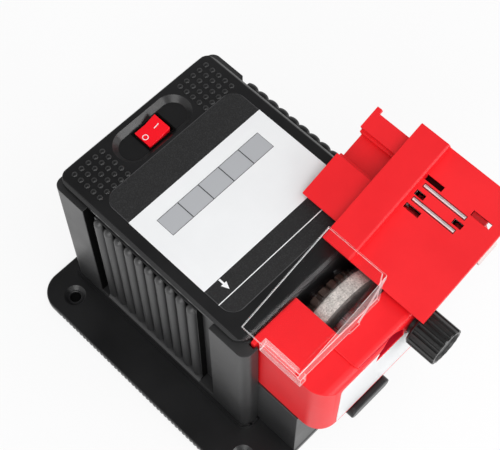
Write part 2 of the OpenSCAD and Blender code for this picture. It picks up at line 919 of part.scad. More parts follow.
module field_core() {
    window_angle = coil_angle + 3;
    color([0.5, 0.5, 0.52])
        on_axis()
            difference() {
                rod_y(core_d / 2, core_front_y, core_back_y);
                rod_y(core_bore_d / 2, core_front_y - 1, core_back_y + 1);
                along_y(core_front_y - 1, core_back_y + 1)
                    for (a = [0, 180])
                        rotate(a)
                            ring_sector(core_bore_d / 2 - 1, coil_r1 + 0.4, -window_angle, window_angle);
            }
}

// Saddle coil round one pole: two straight sides and an arched head at each end
module field_coil() {
    head_front_y = core_front_y - coil_head;
    head_back_y = core_back_y + coil_head;
    along_y(head_front_y, head_back_y) {
        ring_sector(coil_r0, coil_r1, 3, coil_angle);
        ring_sector(coil_r0, coil_r1, 180 - coil_angle, 177);
    }
    for (y = [head_front_y, core_back_y])
        along_y(y, y + coil_head)
            ring_sector(coil_r0, coil_r1, coil_angle - 1, 181 - coil_angle);
}

module field_coils() {
    color(copper)
        on_axis()
            for (a = [0, 180])
                rotate([0, a, 0])
                    field_coil();
}

// Ball bearing as one ring with a groove on each face between its races
module bearing(y0) {
    mid_r = (bearing_d + shaft_d) / 4;
    on_axis()
        difference() {
            rod_y(bearing_d / 2, y0, y0 + bearing_w);
            rod_y(shaft_d / 2 + run_gap, y0 - 1, y0 + bearing_w + 1);
            for (y = [y0 - 1, y0 + bearing_w - 0.8])
                difference() {
                    rod_y(mid_r + 1.6, y, y + 1.8);
                    rod_y(mid_r - 1.6, y - 1, y + 3);
                }
        }
}

module front_bearing() {
    color(steel)
        bearing(bell_front_y);
}

module rear_bearing() {
    color(steel)
        bearing(bell_back_y - bearing_w);
}

module brush_holders() {
    out = brush_w + 2 * holder_wall;
    len = core_d / 2 - commutator_d / 2 + 1;
    color([0.78, 0.6, 0.25])
        on_axis()
            for (s = [-1, 1])
                translate([s * (commutator_d / 2 + 2 + len / 2), brush_y, 0])
                    difference() {
                        cube([len, out, out], center = true);
                        translate([-s * holder_wall, 0, 0])
                            cube([len, brush_w, brush_w], center = true);
                    }
}

module carbon_brushes() {
    len = 11;
    side = brush_w - 2 * push_gap;
    color([0.12, 0.12, 0.12])
        on_axis()
            difference() {
                for (s = [-1, 1])
                    translate([s * (commutator_d / 2 + len / 2), brush_y, 0])
                        cube([len, side, side], center = true);
                rod_y(commutator_d / 2 + slide_gap, brush_y - brush_w, brush_y + brush_w);
            }
}

module motor_screws() {
    color(steel)
        on_axis()
            for (s = [-1, 1])
                translate([s * motor_screw_r, 0, 0]) {
                    rod_y(motor_screw_d / 2, front_wall_y, front_wall_y + motor_screw_l);
                    rod_y(motor_screw_d, front_wall_y - 2.2, front_wall_y);
                }
}

module motor_shaft() {
    color(steel)
        on_axis()
            rod_y(shaft_d / 2, shaft_front_y, bell_back_y + 2);
}

// Ring pushed on the motor shaft
module on_shaft(r, y0, y1) {
    difference() {
        rod_y(r, y0, y1);
        rod_y(shaft_d / 2 + push_gap, y0 - 1, y1 + 1);
    }
}

module armature_core() {
    color([0.45, 0.45, 0.47])
        on_axis()
            difference() {
                on_shaft(armature_d / 2, core_front_y, core_back_y);
                for (i = [0:armature_slots - 1])
                    rotate([0, i * 360 / armature_slots, 0])
                        translate([armature_d / 2 - 2.6, 0, 0])
                            rod_y(2, core_front_y - 1, core_back_y + 1);
            }
}

module armature_winding() {
    head = coil_head - 0.6;
    color(copper)
        on_axis()
            for (y = [core_front_y - head, core_back_y])
                on_shaft(armature_d / 2 - 1.5, y, y + head);
}

module commutator() {
    color(copper)
        on_axis()
            difference() {
                on_shaft(commutator_d / 2, commutator_y, commutator_y + commutator_l);
                for (i = [0:armature_slots - 1])
                    rotate([0, i * 360 / armature_slots, 0])
                        translate([commutator_d / 2, commutator_y + commutator_l / 2, 0])
                            cube([2, commutator_l + 2, 0.6], center = true);
            }
}

module cooling_fan() {
    color([0.16, 0.16, 0.17])
        on_axis() {
            on_shaft(shaft_d / 2 + 4, fan_y, fan_y + fan_l);
            on_shaft(fan_d / 2, fan_y + fan_l - 1.6, fan_y + fan_l);
            for (i = [0:fan_blades - 1])
                rotate([0, i * 360 / fan_blades, 0])
                    translate([shaft_d / 2 + 3, fan_y, -0.8])
                        cube([fan_d / 2 - shaft_d / 2 - 4, fan_l, 1.6]);
        }
}

module inner_flange() {
    back_y = wheel_back_y + inner_flange_t;
    r = inner_flange_d / 2;
    color([0.32, 0.22, 0.17])
        on_axis()
            difference() {
                union() {
                    rod_y(r - lug_h, wheel_back_y, back_y);
                    rod_y(spigot_d / 2, wheel_front_y + 0.5, back_y);
                    for (i = [0:flange_lugs - 1])
                        rotate([0, i * 360 / flange_lugs, 0])
                            translate([r - lug_h - 1, wheel_back_y, -lug_w / 2])
                                cube([lug_h + 1, inner_flange_t, lug_w]);
                }
                rod_y(shaft_d / 2 + push_gap, wheel_front_y - 1, back_y + 1);
                difference() {
                    rod_y(r - lug_h - 3, back_y - 3, back_y + 1);
                    rod_y(shaft_d / 2 + 4, back_y - 4, back_y + 2);
                }
            }
}

module grinding_wheel() {
    r = wheel_d / 2;
    c = wheel_chamfer;
    b = wheel_bore_d / 2;
    color([0.78, 0.76, 0.73])
        on_axis()
            translate([0, wheel_back_y, 0])
                rotate([90, 0, 0])
                    rotate_extrude($fn = 128)
                        polygon([[b, 0], [r - c, 0], [r, c], [r, wheel_t - c],
                            [r - c, wheel_t], [b, wheel_t]]);
}

module outer_flange() {
    color(steel)
        on_axis()
            difference() {
                on_shaft(outer_flange_d / 2, outer_flange_y, wheel_front_y);
                difference() {
                    rod_y(outer_flange_d / 2 - 3, wheel_front_y - 0.6, wheel_front_y + 1);
                    rod_y(shaft_d / 2 + 3, outer_flange_y, wheel_front_y + 2);
                }
            }
}

// Hexagon nut along Y
module hex_nut(af, bore_r, y0, y1) {
    difference() {
        translate([0, y1, 0])
            rotate([90, 0, 0])
                cylinder(d = af / cos(30), h = y1 - y0, $fn = 6);
        rod_y(bore_r, y0 - 1, y1 + 1);
    }
}

module wheel_nut() {
    color(steel)
        on_axis()
            hex_nut(nut_af, shaft_d / 2 + push_gap, nut_y, outer_flange_y);
}

// Side view of the module with its rounded top front edge, drawn in y and z
module module_side(top, edge, grow) {
    r = edge - grow;
    y0 = module_front_y + grow;
    y1 = module_back_y + (grow > 0 ? 1 : 0);
    z0 = module_z - (grow > 0 ? 1 : 0);
    z1 = top - grow;
    translate([y0, z0])
        square([y1 - y0, z1 - r - z0]);
    translate([y0 + r, z0])
        square([y1 - y0 - r, z1 - z0]);
    translate([y0 + r, z1 - r])
        circle(r);
}

// Module's outer form between two x places, up to top, smaller all round by grow
module module_block(x0, x1, top, edge, grow) {
    half = module_w / 2 - grow;
    y0 = module_front_y + grow;
    y1 = module_back_y + (grow > 0 ? 1 : 0);
    r = module_corner_r - grow;
    intersection() {
        along_x(x0, x1)
            module_side(top, edge, grow);
        translate([0, 0, module_z - 1])
            linear_extrude(top - module_z + 1)
                union() {
                    translate([-half, y0 + r])
                        square([2 * half, y1 - y0 - r]);
                    translate([r - half, y0])
                        square([2 * half - 2 * r, r + 1]);
                    for (s = [-1, 1])
                        translate([s * (half - r), y0 + r])
                            circle(r);
                }
    }
}

// Shape of the arched recess, as wide as the room beside the knob's boss, larger all round by grow
module arch_shape(grow) {
    intersection() {
        union() {
            translate([arch_x, arch_z + arch_side])
                circle(arch_r + grow);
            translate([arch_x - arch_r - grow, arch_z - grow])
                square([2 * (arch_r + grow), arch_side + grow]);
        }
        translate([-module_w, arch_z - grow])
            square([module_w + knob_x - boss_r - 0.4 - 1.5 + grow, module_h]);
    }
}

// Plan of the deck's raised part, with one round corner beside the shoulder
module deck_plan(corner) {
    half = module_w / 2;
    shield_y = shield_front_y - 0.8;
    translate([-half - 1, shield_y])
        square([module_w + 2, module_back_y - shield_y + 1]);
    translate([shoulder_x + corner, module_front_y - 1])
        square([module_w, shield_y - module_front_y + 2]);
    translate([shoulder_x, module_front_y + corner])
        square([corner + 1, shield_y - module_front_y - corner + 1]);
    translate([shoulder_x + corner, module_front_y + corner])
        circle(corner);
}

module module_shell() {
    half = module_w / 2;
    inner = half - module_wall;
    shoulder_z = deck_z - shoulder_drop;
    floor_z = module_z + module_wall;
    color(red)
        difference() {
            union() {
                module_block(-half, half, shoulder_z, shoulder_edge_r, 0);
                intersection() {
                    module_block(-half, half, deck_z, module_edge_r, 0);
                    translate([0, 0, module_z])
                        linear_extrude(module_h + 1)
                            deck_plan(5);
                }
                for (s = [-1, 1])
                    translate([s * (half - 0.5 + lip_reach / 2), lip_y0 + lip_t / 2, (module_z + deck_z) / 2])
                        cube([lip_reach + 1, lip_t, module_h - 1], center = true);
            }
            difference() {
                module_block(-inner, inner, shoulder_z, shoulder_edge_r, module_wall);
                along_y(module_front_y, module_front_y + arch_depth + module_wall)
                    arch_shape(1.5);
                block([-half, module_front_y, module_z - 2], [half, nose_front_y - slide_gap, floor_z]);
            }
            block([-window_x, window_front_y, axis_z], [window_x, module_back_y + 1, deck_z + 1]);
            block([arm_slot_x0, arm_y0 - slide_gap, axis_z],
                [arm_slot_x1, arm_y0 + arm_t + slide_gap, deck_z + 1]);
            block([arm_slot_x0 - 3.5, arm_y0 - slide_gap, axis_z],
                [arm_slot_x1, arm_y0 + arm_t + slide_gap, shoulder_z - module_wall]);
            along_y(module_front_y - 1, module_front_y + arch_depth)
                arch_shape(0);
            translate([knob_x, 0, knob_z])
                rod_y(screw_d / 2 + slide_gap, module_front_y - 1, module_front_y + module_wall + 1);
            block([catch_x - neck_w / 2 - slide_gap, neck_y - slide_gap, module_z - 1],
                [catch_x + neck_w / 2 + slide_gap, neck_y + neck_d + catch_travel + slide_gap, floor_z + 1]);
        }
}

module module_label() {
    w = plate_right_x - plate_left_x;
    color([0.95, 0.95, 0.95])
        along_y(module_front_y - label_t, module_front_y)
            difference() {
                translate([(plate_left_x + plate_right_x) / 2, (plate_top_z + plate_bottom_z) / 2])
                    rounded_rect(w, plate_h, 3);
                arch_shape(0.6);
                translate([arch_x, knob_z])
                    square([knob_x - arch_x, module_h]);
                translate([knob_x, knob_z])
                    circle(collar_d / 2 + 1.5);
            }
}

// Bar under the module's front edge, hung by a neck from a flange that slides on the module's floor
module release_catch() {
    bar_y = module_front_y - catch_reach;
    floor_z = module_z + module_wall + slide_gap;
    color(black) {
        translate([catch_x, 0, catch_z])
            along_y(bar_y, bar_y + catch_d)
                oblong(catch_l, catch_h);
        block([catch_x - neck_w / 2, neck_y, catch_z], [catch_x + neck_w / 2, neck_y + neck_d, floor_z + 1]);
        block([catch_x - neck_w / 2 - 4, neck_y - 0.5, floor_z],
            [catch_x + neck_w / 2 + 4, neck_y + neck_d, floor_z + 2]);
    }
}

module clear_shield() {
    x0 = shield_x;
    x1 = shield_right_x;
    low_z = deck_z - shield_drop;
    rail_back_y = post_front_y - 1.5;
    plate_run = shield_t / cos(tilt);
    end_z = shield_z + (x1 - x0) * tan(tilt);
    rail_x = x0 + rail_w;
    rail_z = shield_z - plate_run + 0.3;
    color([0.85, 0.9, 0.92, 0.4]) {
        along_y(shield_front_y, shield_back_y)
            polygon([[x0, shield_z - plate_run], [x1, end_z - plate_run], [x1, end_z], [x0, shield_z]]);
        block([x0, shield_front_y - rail_reach, low_z], [x0 + shield_t, rail_back_y, rail_z]);
        block([x0 + shield_t - 0.1, shield_front_y - rail_reach, deck_z], [rail_x, rail_back_y, rail_z]);
        along_y(shield_front_y, shield_front_y + shield_t)
            polygon([[x0, deck_z], [x1, deck_z], [x1, end_z - plate_run + 0.3], [x0, rail_z]]);
        along_y(shield_front_y - web_t, shield_front_y + 0.1)
            polygon([[x0, deck_z], [snap_x + snap_w / 2, deck_z], [x1, end_z - 2 * plate_run], [x1, end_z],
                [x0, shield_z]]);
        block([snap_x - snap_w / 2, shield_front_y - web_t - 0.6, deck_z],
            [snap_x + snap_w / 2, shield_front_y - web_t + 0.5, deck_z + 4]);
    }
}

// Section of the guide: two flanges with a ledged groove between them, drawn in u and w
module guide_section() {
    left = groove_u - channel_wall;
    right = groove_u + groove_w + channel_wall;
    floor_w = groove_floor_w - channel_wall;
    difference() {
        union() {
            translate([guide_u, guide_low_w])
                square([guide_end_u - guide_u, guide_t]);
            translate([left, floor_w])
                square([right - left, guide_top_w - floor_w]);
        }
        translate([groove_u, guide_top_w - groove_ledge_h])
            square([groove_w, groove_ledge_h + 1]);
        translate([groove_u + groove_ledge, groove_floor_w])
            square([groove_w - 2 * groove_ledge, groove_h + 1]);
    }
}

module guide_channel() {
    hook_u = 2.8;
    hook_l = 3.6;
    arm_y1 = arm_y0 + arm_t;
    color(red)
        on_slope()
            difference() {
                union() {
                    along_y(guide_front_y, guide_back_y)
                        guide_section();
                    block([guide_end_u - 0.5, guide_back_y - hook_l, guide_low_w],
                        [guide_end_u + hook_u, guide_back_y, guide_top_w]);
                    along_y(arm_y0, arm_y1) {
                        polygon([[guide_u, guide_low_w + 0.5], [guide_u + arm_w, guide_low_w + 0.5],
                            [pivot_u + boss_r * 0.6, pivot_w - boss_r * 0.6],
                            [pivot_u - boss_r * 0.6, pivot_w + boss_r * 0.6]]);
                        translate([pivot_u, pivot_w])
                            circle(boss_r);
                    }
                    block([guide_u, arm_y0, guide_low_w], [guide_u + arm_w, guide_front_y + 1, guide_top_w]);
                }
                translate([pivot_u, 0, pivot_w])
                    rod_y(screw_d / 2 + run_gap, arm_y0 - 1, arm_y1 + 1);
                block([slit_right_u - 0.4, fence_y - slit_long - 0.4, guide_low_w + 0.8],
                    [slit_right_u + slit_w + 0.4, fence_y + 0.4, 1]);
            }
}

module pivot_nut() {
    y0 = arm_y0 + arm_t;
    color(steel)
        translate([knob_x, 0, knob_z])
            hex_nut(pivot_nut_af, screw_d / 2 + run_gap, y0, y0 + pivot_nut_t);
}

// Slot in the table from its near corner in u and y, down to low
module slit(u, y, l, low) {
    block([u, y - l, low], [u + slit_w, y, 1]);
}

// The slot left of the rods, down to low
module left_slit(low) {
    slit(slit_left_u, fence_y - 1.2, slit_long - 1.6, low);
}

// The two short slots between the rods, down to low
module short_slits(low) {
    mid_u = rod_u + rod_gap / 2 - slit_w / 2 - 0.8;
    slit(mid_u, fence_y - 1, slit_short, low);
    slit(mid_u + 0.5, rod_y0 + 4.6, slit_short, low);
}

module tool_table() {
    color(red)
        on_slope()
            difference() {
                union() {
                    block([0, table_front_y, -table_t], [table_l, fence_y + 0.01, 0]);
                    along_x(0, table_l)
                        polygon([[fence_y, -table_t], [fence_back_y, -table_t], [fence_back_y, fence_h],
                            [fence_y + 1, fence_h], [fence_y, fence_h - 1]]);
                }
                slit(slit_right_u, fence_y, slit_long, -table_t - 1);
                left_slit(-table_t - 1);
                slit(slit_right_u + 0.4, rod_y0 - 0.6, slit_long + 0.8, -table_t - 1);
                short_slits(-table_t - 1);
                for (u = [rod_u, rod_u + rod_gap])
                    translate([u, 0, rod_d / 2 - 0.9])
                        rod_y(rod_d / 2 + push_gap, rod_y0 - push_gap, rod_y0 + rod_l + push_gap);
            }
}

module support_rods() {
    color(steel)
        on_slope()
            for (u = [rod_u, rod_u + rod_gap])
                translate([u, 0, rod_d / 2 - 0.9])
                    rod_y(rod_d / 2, rod_y0, rod_y0 + rod_l);
}

module slide_tongue() {
    color([0.93, 0.88, 0.87])
        on_slope()
            difference() {
                block([tongue_u, table_front_y - 0.3, tongue_low_w],
                    [tongue_u + tongue_w, fence_back_y - 3, -table_t]);
                short_slits(tongue_low_w - 1);
                left_slit(tongue_low_w - 1);
            }
}

module knob() {
    r = knob_d / 2;
    color(black)
        translate([knob_x, 0, knob_z])
            difference() {
                union() {
                    translate([0, knob_y, 0])
                        rotate([90, 0, 0])
                            rotate_extrude()
                                polygon([[0, 0], [r - 1, 0], [r, 1], [r, knob_l - 0.6], [r - 0.6, knob_l],
                                    [r - 2.2, knob_l], [r - 2.8, knob_l - 1.4], [0, knob_l - 1.4]]);
                    rod_y(collar_d / 2, knob_y - 0.5, collar_y);
                }
                for (i = [0:knob_flutes - 1])
                    rotate([0, i * 360 / knob_flutes, 0])
                        translate([r + 1.6 - flute_depth, 0, 0])
                            rod_y(1.6, knob_y - knob_l - 1, knob_y - 1.6);
                rod_y(screw_d / 2 + push_gap, screw_front_y, collar_y + 1);
            }
}

module pivot_screw() {
    color(steel)
        translate([knob_x, 0, knob_z])
            rod_y(screw_d / 2, screw_front_y, screw_back_y);
}

base_plate();
rubber_feet();
base_screws();
body_shell();
top_cover();
cover_label();
switch_frame();
rocker();
cord_gland();
front_end_bell();
rear_end_bell();
field_core();
field_coils();
front_bearing();
rear_bearing();
brush_holders();
carbon_brushes();
motor_screws();
motor_shaft();
armature_core();
armature_winding();
commutator();
cooling_fan();
inner_flange();
grinding_wheel();
outer_flange();
wheel_nut();
module_shell();
module_label();
release_catch();
clear_shield();
guide_channel();
pivot_nut();
tool_table();
support_rods();
slide_tongue();
knob();
pivot_screw();
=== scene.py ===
"""Looks of an electric bench sharpener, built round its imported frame."""

import json
import math

import bpy
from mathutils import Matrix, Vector

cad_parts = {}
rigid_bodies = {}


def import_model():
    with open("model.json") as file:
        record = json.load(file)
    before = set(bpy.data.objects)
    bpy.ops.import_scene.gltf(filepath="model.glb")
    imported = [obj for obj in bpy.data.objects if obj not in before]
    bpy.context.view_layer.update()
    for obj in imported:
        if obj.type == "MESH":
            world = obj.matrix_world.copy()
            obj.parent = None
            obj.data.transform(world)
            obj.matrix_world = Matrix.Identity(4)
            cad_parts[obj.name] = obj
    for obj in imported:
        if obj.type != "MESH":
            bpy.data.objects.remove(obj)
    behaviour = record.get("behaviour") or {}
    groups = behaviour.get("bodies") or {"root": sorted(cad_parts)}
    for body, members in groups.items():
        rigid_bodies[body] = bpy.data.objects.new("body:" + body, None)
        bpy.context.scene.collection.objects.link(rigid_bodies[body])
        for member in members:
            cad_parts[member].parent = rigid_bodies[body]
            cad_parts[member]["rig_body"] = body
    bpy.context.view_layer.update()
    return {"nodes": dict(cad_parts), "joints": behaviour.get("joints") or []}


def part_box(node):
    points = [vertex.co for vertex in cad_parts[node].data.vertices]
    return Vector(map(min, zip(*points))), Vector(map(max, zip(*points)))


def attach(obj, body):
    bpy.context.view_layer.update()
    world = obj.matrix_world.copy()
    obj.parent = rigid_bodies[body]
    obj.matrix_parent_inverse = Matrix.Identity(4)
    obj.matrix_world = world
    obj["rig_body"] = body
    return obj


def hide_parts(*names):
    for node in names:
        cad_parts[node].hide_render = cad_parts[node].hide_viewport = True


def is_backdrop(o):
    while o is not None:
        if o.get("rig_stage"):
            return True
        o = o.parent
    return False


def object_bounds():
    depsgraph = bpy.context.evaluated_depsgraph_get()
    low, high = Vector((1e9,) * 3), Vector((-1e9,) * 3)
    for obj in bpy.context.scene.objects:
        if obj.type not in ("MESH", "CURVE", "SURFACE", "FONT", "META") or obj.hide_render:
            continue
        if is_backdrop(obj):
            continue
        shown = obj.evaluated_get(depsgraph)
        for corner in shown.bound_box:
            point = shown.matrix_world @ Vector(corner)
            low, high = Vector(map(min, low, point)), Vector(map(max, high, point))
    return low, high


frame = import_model()
MM = 0.001
WELD = 1e-6

# The tool table's slope, the direction up along it and the one square to it
SLOPE = math.radians(20)
ALONG = Vector((math.cos(SLOPE), 0, math.sin(SLOPE)))
UPRIGHT = Vector((-math.sin(SLOPE), 0, math.cos(SLOPE)))

bl_info = {
    "name": "Bench Sharpener Looks",
    "version": (1, 0, 0),
    "blender": (4, 5, 0),
    "location": "View3D > Sidebar > Sharpener",
    "description": "Builds the finished pieces of a bench sharpener round its solids",
    "category": "Object",
}


def colour(label, text, value):
    return bpy.props.FloatVectorProperty(
        name=label, description=text, default=value, size=3, min=0, max=1, subtype="COLOR")


def length(label, text, value):
    return bpy.props.FloatProperty(
        name=label, description=text, default=value * MM, unit="LENGTH", subtype="DISTANCE", precision=5)


def number(label, text, value):
    return bpy.props.FloatProperty(name=label, description=text, default=value)


def whole(label, text, value):
    return bpy.props.IntProperty(name=label, description=text, default=value, min=1)


class SharpenerColours(bpy.types.PropertyGroup):
    """Colours of the finishes, in linear light."""

    housing: colour("Housing", "Black of the moulded housing", (0.008, 0.008, 0.0086))
    # Painted shade: near black for the insides of the slots; the switch frame uses the same black.
    slot: colour("Slot", "Dark inside of the slots, and the switch frame", (0.0015, 0.0015, 0.0015))
    module: colour("Module", "Red of the module, the guide and the table", (0.84, 0.008, 0.014))
    arch: colour("Arch", "Shaded red inside the module's arched recess", (0.5, 0.002, 0.018))
    # Painted shade: dark red for the insides of the table's slits.
    slit_shade: colour("Slit", "Dark red inside the table's slits", (0.05, 0.0008, 0.0015))
    # Painted shadow: dark line in the gap round each rod.
    seam: colour("Seam", "Dark seam round the rods", (0.03, 0.0006, 0.001))
    switch: colour("Rocker", "Red of the switch rocker", (0.92, 0.006, 0.016))
    knob: colour("Knob", "Black of the clamp knob", (0.008, 0.008, 0.008))
    paper: colour("Sticker", "White of the bare stickers", (0.83, 0.84, 0.85))
    ink: colour("Sticker ground", "Dark ground of the cover sticker", (0.014, 0.014, 0.0145))
    tile: colour("Sticker tile", "Grey of the blank tiles on the sticker", (0.42, 0.43, 0.45))
    tile_line: colour("Tile line", "Dark line round the blank tiles", (0.03, 0.03, 0.032))
    grit: colour("Grinding wheel", "Grey of the bonded grit", (0.52, 0.49, 0.46))
    flange: colour("Wheel flange", "Brown of the moulded wheel flange", (0.06, 0.034, 0.026))
    tongue: colour("Slide tongue", "Pale natural plastic of the tongue", (0.8, 0.66, 0.64))
    steel: colour("Steel", "Turned steel of shaft, screws and nuts", (0.62, 0.62, 0.63))
    rods: colour("Rods", "Bright steel of the table's rods", (0.95, 0.9, 0.9))
    cast: colour("End bells", "Die-cast aluminium of the motor's end bells", (0.6, 0.61, 0.62))
    stack: colour("Core", "Steel sheets of the motor's cores", (0.2, 0.2, 0.21))
    copper: colour("Copper", "Enamelled winding wire", (0.55, 0.22, 0.08))
    carbon: colour("Carbon", "Brushes of the motor", (0.012, 0.012, 0.012))
    rubber: colour("Rubber", "Feet and cord gland", (0.012, 0.012, 0.012))


class SharpenerSizes(bpy.types.PropertyGroup):
    """Sizes of the details that the solids leave out."""

    notch_count: whole("Notches", "Notches along each long side of the base", 46)
    notch_pitch: length("Notch pitch", "Distance between the notches of the base edge", 3.28)
    notch_radius: length("Notch radius", "Radius of a notch", 1.15)
    notch_out: length("Notch place", "Distance of a notch's middle outside the base edge", 0.55)
    bump_rows: whole("Bump rows", "Bumps along each side of a field", 5)
    bump_pitch: length("Bump pitch", "Distance between grip bumps", 5.4)
    bump_radius: length("Bump radius", "Radius of a grip bump", 1.85)
    bump_height: length("Bump height", "Height of a grip bump", 0.95)
    field_x: length("Field across", "Middle of a field of bumps across", 42.35)
    field_y: length("Field along", "Middle of a field of bumps from front to back", 72.6)
    rib_count: whole("Ribs", "Ribs on the right-hand side", 10)
    rib_radius: length("Rib radius", "Radius of a right-hand rib before it is flattened", 3.6)
    rib_pitch: length("Rib pitch", "Distance between the ribs", 8.44)
    rib_x: length("Rib place", "Middle of the right-hand ribs across", 63.4)
    rib_first_y: length("First rib", "Middle of the foremost rib", -21.48)
    rib_foot: length("Rib foot", "Height of the ribs' lower end", 16.0)
    rib_gap: length("Rib gap", "Space above the ribs, below the housing's top", 0.3)
    rib_end: length("Rib end", "Reach of the outermost ribs past their middle", 3.8)
    panel_front: length("Panel front", "Front edge of the white panel on the sticker", -22.7)
    panel_back: length("Panel back", "Back edge of the white panel on the sticker", 38.2)
    line_y: length("Line", "Place of the thin white line on the sticker", -34.0)
    line_width: length("Line width", "Width of the thin white line", 0.56)
    line_end: length("Line end", "Right end of the thin white line", 50.5)
    tile_front: length("Tile front", "Front edge of the row of tiles", 14.4)
    tile_back: length("Tile back", "Back edge of the row of tiles", 28.0)
    tile_width: length("Tile width", "Width of a tile with its line", 16.3)
    tile_row_end: length("Tile row", "Reach of the row of tiles to each side", 40.7)
    tile_end_line: length("Tile end line", "Line at the front and back of a tile", 0.35)
    tile_side_line: length("Tile side line", "Line at each side of a tile", 0.3)
    sticker_corner: length("Sticker corner", "Corner radius of the cover sticker", 8.0)
    # Painted highlight: width of the paler band along the sticker's edge.
    sticker_rim_highlight: length("Sticker rim", "Paler rim of the cover sticker", 0.45)
    arrow_x: length("Arrow place", "Middle of the arrow across", -41.8)
    arrow_tail: length("Arrow tail", "Back end of the arrow", -23.1)
    shaft_width: length("Shaft width", "Width of the arrow's shaft", 1.2)
    shaft_length: length("Shaft length", "Length of the arrow's shaft", 3.6)
    head_width: length("Head width", "Width of the arrow's head", 4.2)
    head_length: length("Head length", "Length of the arrow's head", 4.5)
    plate_line: length("Plate line", "Red line along the module plate's lower edge", 1.4)
    mark: length("Switch mark", "Height of the marks on the rocker", 3.9)
    stroke: length("Mark stroke", "Stroke of the marks on the rocker", 0.5)
    mark_rise: length("Mark height", "Height of the ring above the rocker's axis", 2.2)
    ring_left: length("Ring place", "Distance of the ring to the left of the middle", 5.6)
    bar_right: length("Bar place", "Distance of the bar to the right of the middle", 3.8)
    bar_back: length("Bar set", "Distance of the bar behind the middle", 0.6)


class SharpenerStage(bpy.types.PropertyGroup):
    """Camera and light."""

    lens: number("Lens", "Focal length on a 36 mm sensor", 89.3)
    key: number("Key light", "Power of the large light at the left", 11.5)
    top: number("Top light", "Power of the light overhead", 9.5)
    fill: number("Fill light", "Power of the light at the right", 4.5)
    front: number("Front light", "Power of the low light at the front", 6.5)


def colours():
    return bpy.context.scene.sharpener_colours


def sizes():
    return bpy.context.scene.sharpener_sizes


# Mesh tools

def rest():
    """Object mode with nothing selected."""
    if bpy.context.mode != "OBJECT":
        bpy.ops.object.mode_set(mode="OBJECT")
    bpy.ops.object.select_all(action="DESELECT")


def pick(piece):
    """Makes one piece the only selected and active one."""
    rest()
    piece.select_set(True)
    bpy.context.view_layer.objects.active = piece


def edit(piece):
    """Edit mode on one piece with all of it selected."""
    pick(piece)
    bpy.ops.object.mode_set(mode="EDIT")
    bpy.ops.mesh.select_mode(type="FACE")
    bpy.ops.mesh.select_all(action="SELECT")


def edit_points(piece, kind, chosen):
    """Edit mode on one piece with the points that pass a test, and the edges between them, selected."""
    edit(piece)
    bpy.ops.mesh.select_mode(type=kind)
    bpy.ops.mesh.select_all(action="DESELECT")
    bpy.ops.object.mode_set(mode="OBJECT")
    points = piece.data.vertices
    for point in points:
        point.select = chosen(point.co)
    for edge in piece.data.edges:
        edge.select = all(points[i].select for i in edge.vertices)
    bpy.ops.object.mode_set(mode="EDIT")


def modify(piece, kind, **values):
    """Adds a modifier, sets it and applies it."""
    pick(piece)
    bpy.ops.object.modifier_add(type=kind)
    step = piece.modifiers[-1]
    for name, value in values.items():
        setattr(step, name, value)
    bpy.ops.object.modifier_apply(modifier=step.name)


def repeat_along_y(piece, count, pitch):
    modify(piece, "ARRAY", count=count, use_relative_offset=False, use_constant_offset=True,
           constant_offset_displace=(0, pitch, 0))


def smooth(piece, angle=38):
    pick(piece)
    bpy.ops.object.shade_smooth_by_angle(angle=math.radians(angle))


def settle(piece, name, body, finish):
    """Names a finished piece, fixes its place in its mesh, and gives it its finish and its body."""
    pick(piece)
    bpy.ops.object.transform_apply(location=True, rotation=True, scale=True)
    piece.name = name
    piece.data.name = name
    piece.data.materials.clear()
    piece.data.materials.append(finish)
    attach(piece, body)


def round_edges(piece, width, segments, angle, keep):
    """Rounds the outward edges between wide faces, apart from those whose middle passes keep."""
    mesh = piece.data
    beside = {}
    for face in mesh.polygons:
        for key in face.edge_keys:
            beside.setdefault(key, []).append(face)
    weight = mesh.attributes.new("bevel_weight_edge", "FLOAT", "EDGE")
    for edge in mesh.edges:
        faces = beside.get(edge.key, ())
        if len(faces) != 2:
            continue
        first, second = faces
        start, end = (mesh.vertices[i].co for i in edge.vertices)
        order = list(second.vertices)
        ahead = order[(order.index(edge.vertices[0]) + 1) % len(order)] == edge.vertices[1]
        along = end - start if ahead else start - end
        outward = first.normal.dot(second.normal.cross(along)) < 0
        wide = min(first.area, second.area) > 2 * width * along.length
        sharp = first.normal.angle(second.normal, 0.0) > math.radians(angle)
        if sharp and outward and wide and not (keep and keep((start + end) / 2)):
            weight.data[edge.index].value = 1.0
    modify(piece, "BEVEL", width=width, segments=segments, limit_method="WEIGHT", use_clamp_overlap=False,
           miter_outer="MITER_ARC")


def softened(node, finish, width, segments=2, angle=35, keep=None, name=None):
    """A copy of a solid with its sharp edges rounded, standing for that solid and kept inside its box."""
    source = frame["nodes"][node]
    name = name or node + "_looks"
    piece = bpy.data.objects.new(name, source.data.copy())
    bpy.context.scene.collection.objects.link(piece)
    edit(piece)
    bpy.ops.mesh.remove_doubles(threshold=WELD)
    bpy.ops.mesh.dissolve_limited(angle_limit=math.radians(0.4))
    bpy.ops.mesh.customdata_custom_splitnormals_clear()
    bpy.ops.object.mode_set(mode="OBJECT")
    round_edges(piece, width, segments, angle, keep)
    low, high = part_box(node)
    for vertex in piece.data.vertices:
        vertex.co = [min(max(c, least), most) for c, least, most in zip(vertex.co, low, high)]
    smooth(piece)
    modify(piece, "WEIGHTED_NORMAL", keep_sharp=True, weight=80)
    body = source["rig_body"]
    settle(piece, name, body, finish)
    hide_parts(node)
    return piece


def paint(node, finish):
    """Gives a solid that stays its finish."""
    for place in frame["nodes"][node].material_slots:
        place.material = finish


def refinish(piece, finish, chosen):
    """Gives the faces that pass a test another finish."""
    piece.data.materials.append(finish)
    last = len(piece.data.materials) - 1
    for face in piece.data.polygons:
        if chosen(face):
            face.material_index = last


def within(value, span):
    low, high = span
    return low < value < high


# Shader tools

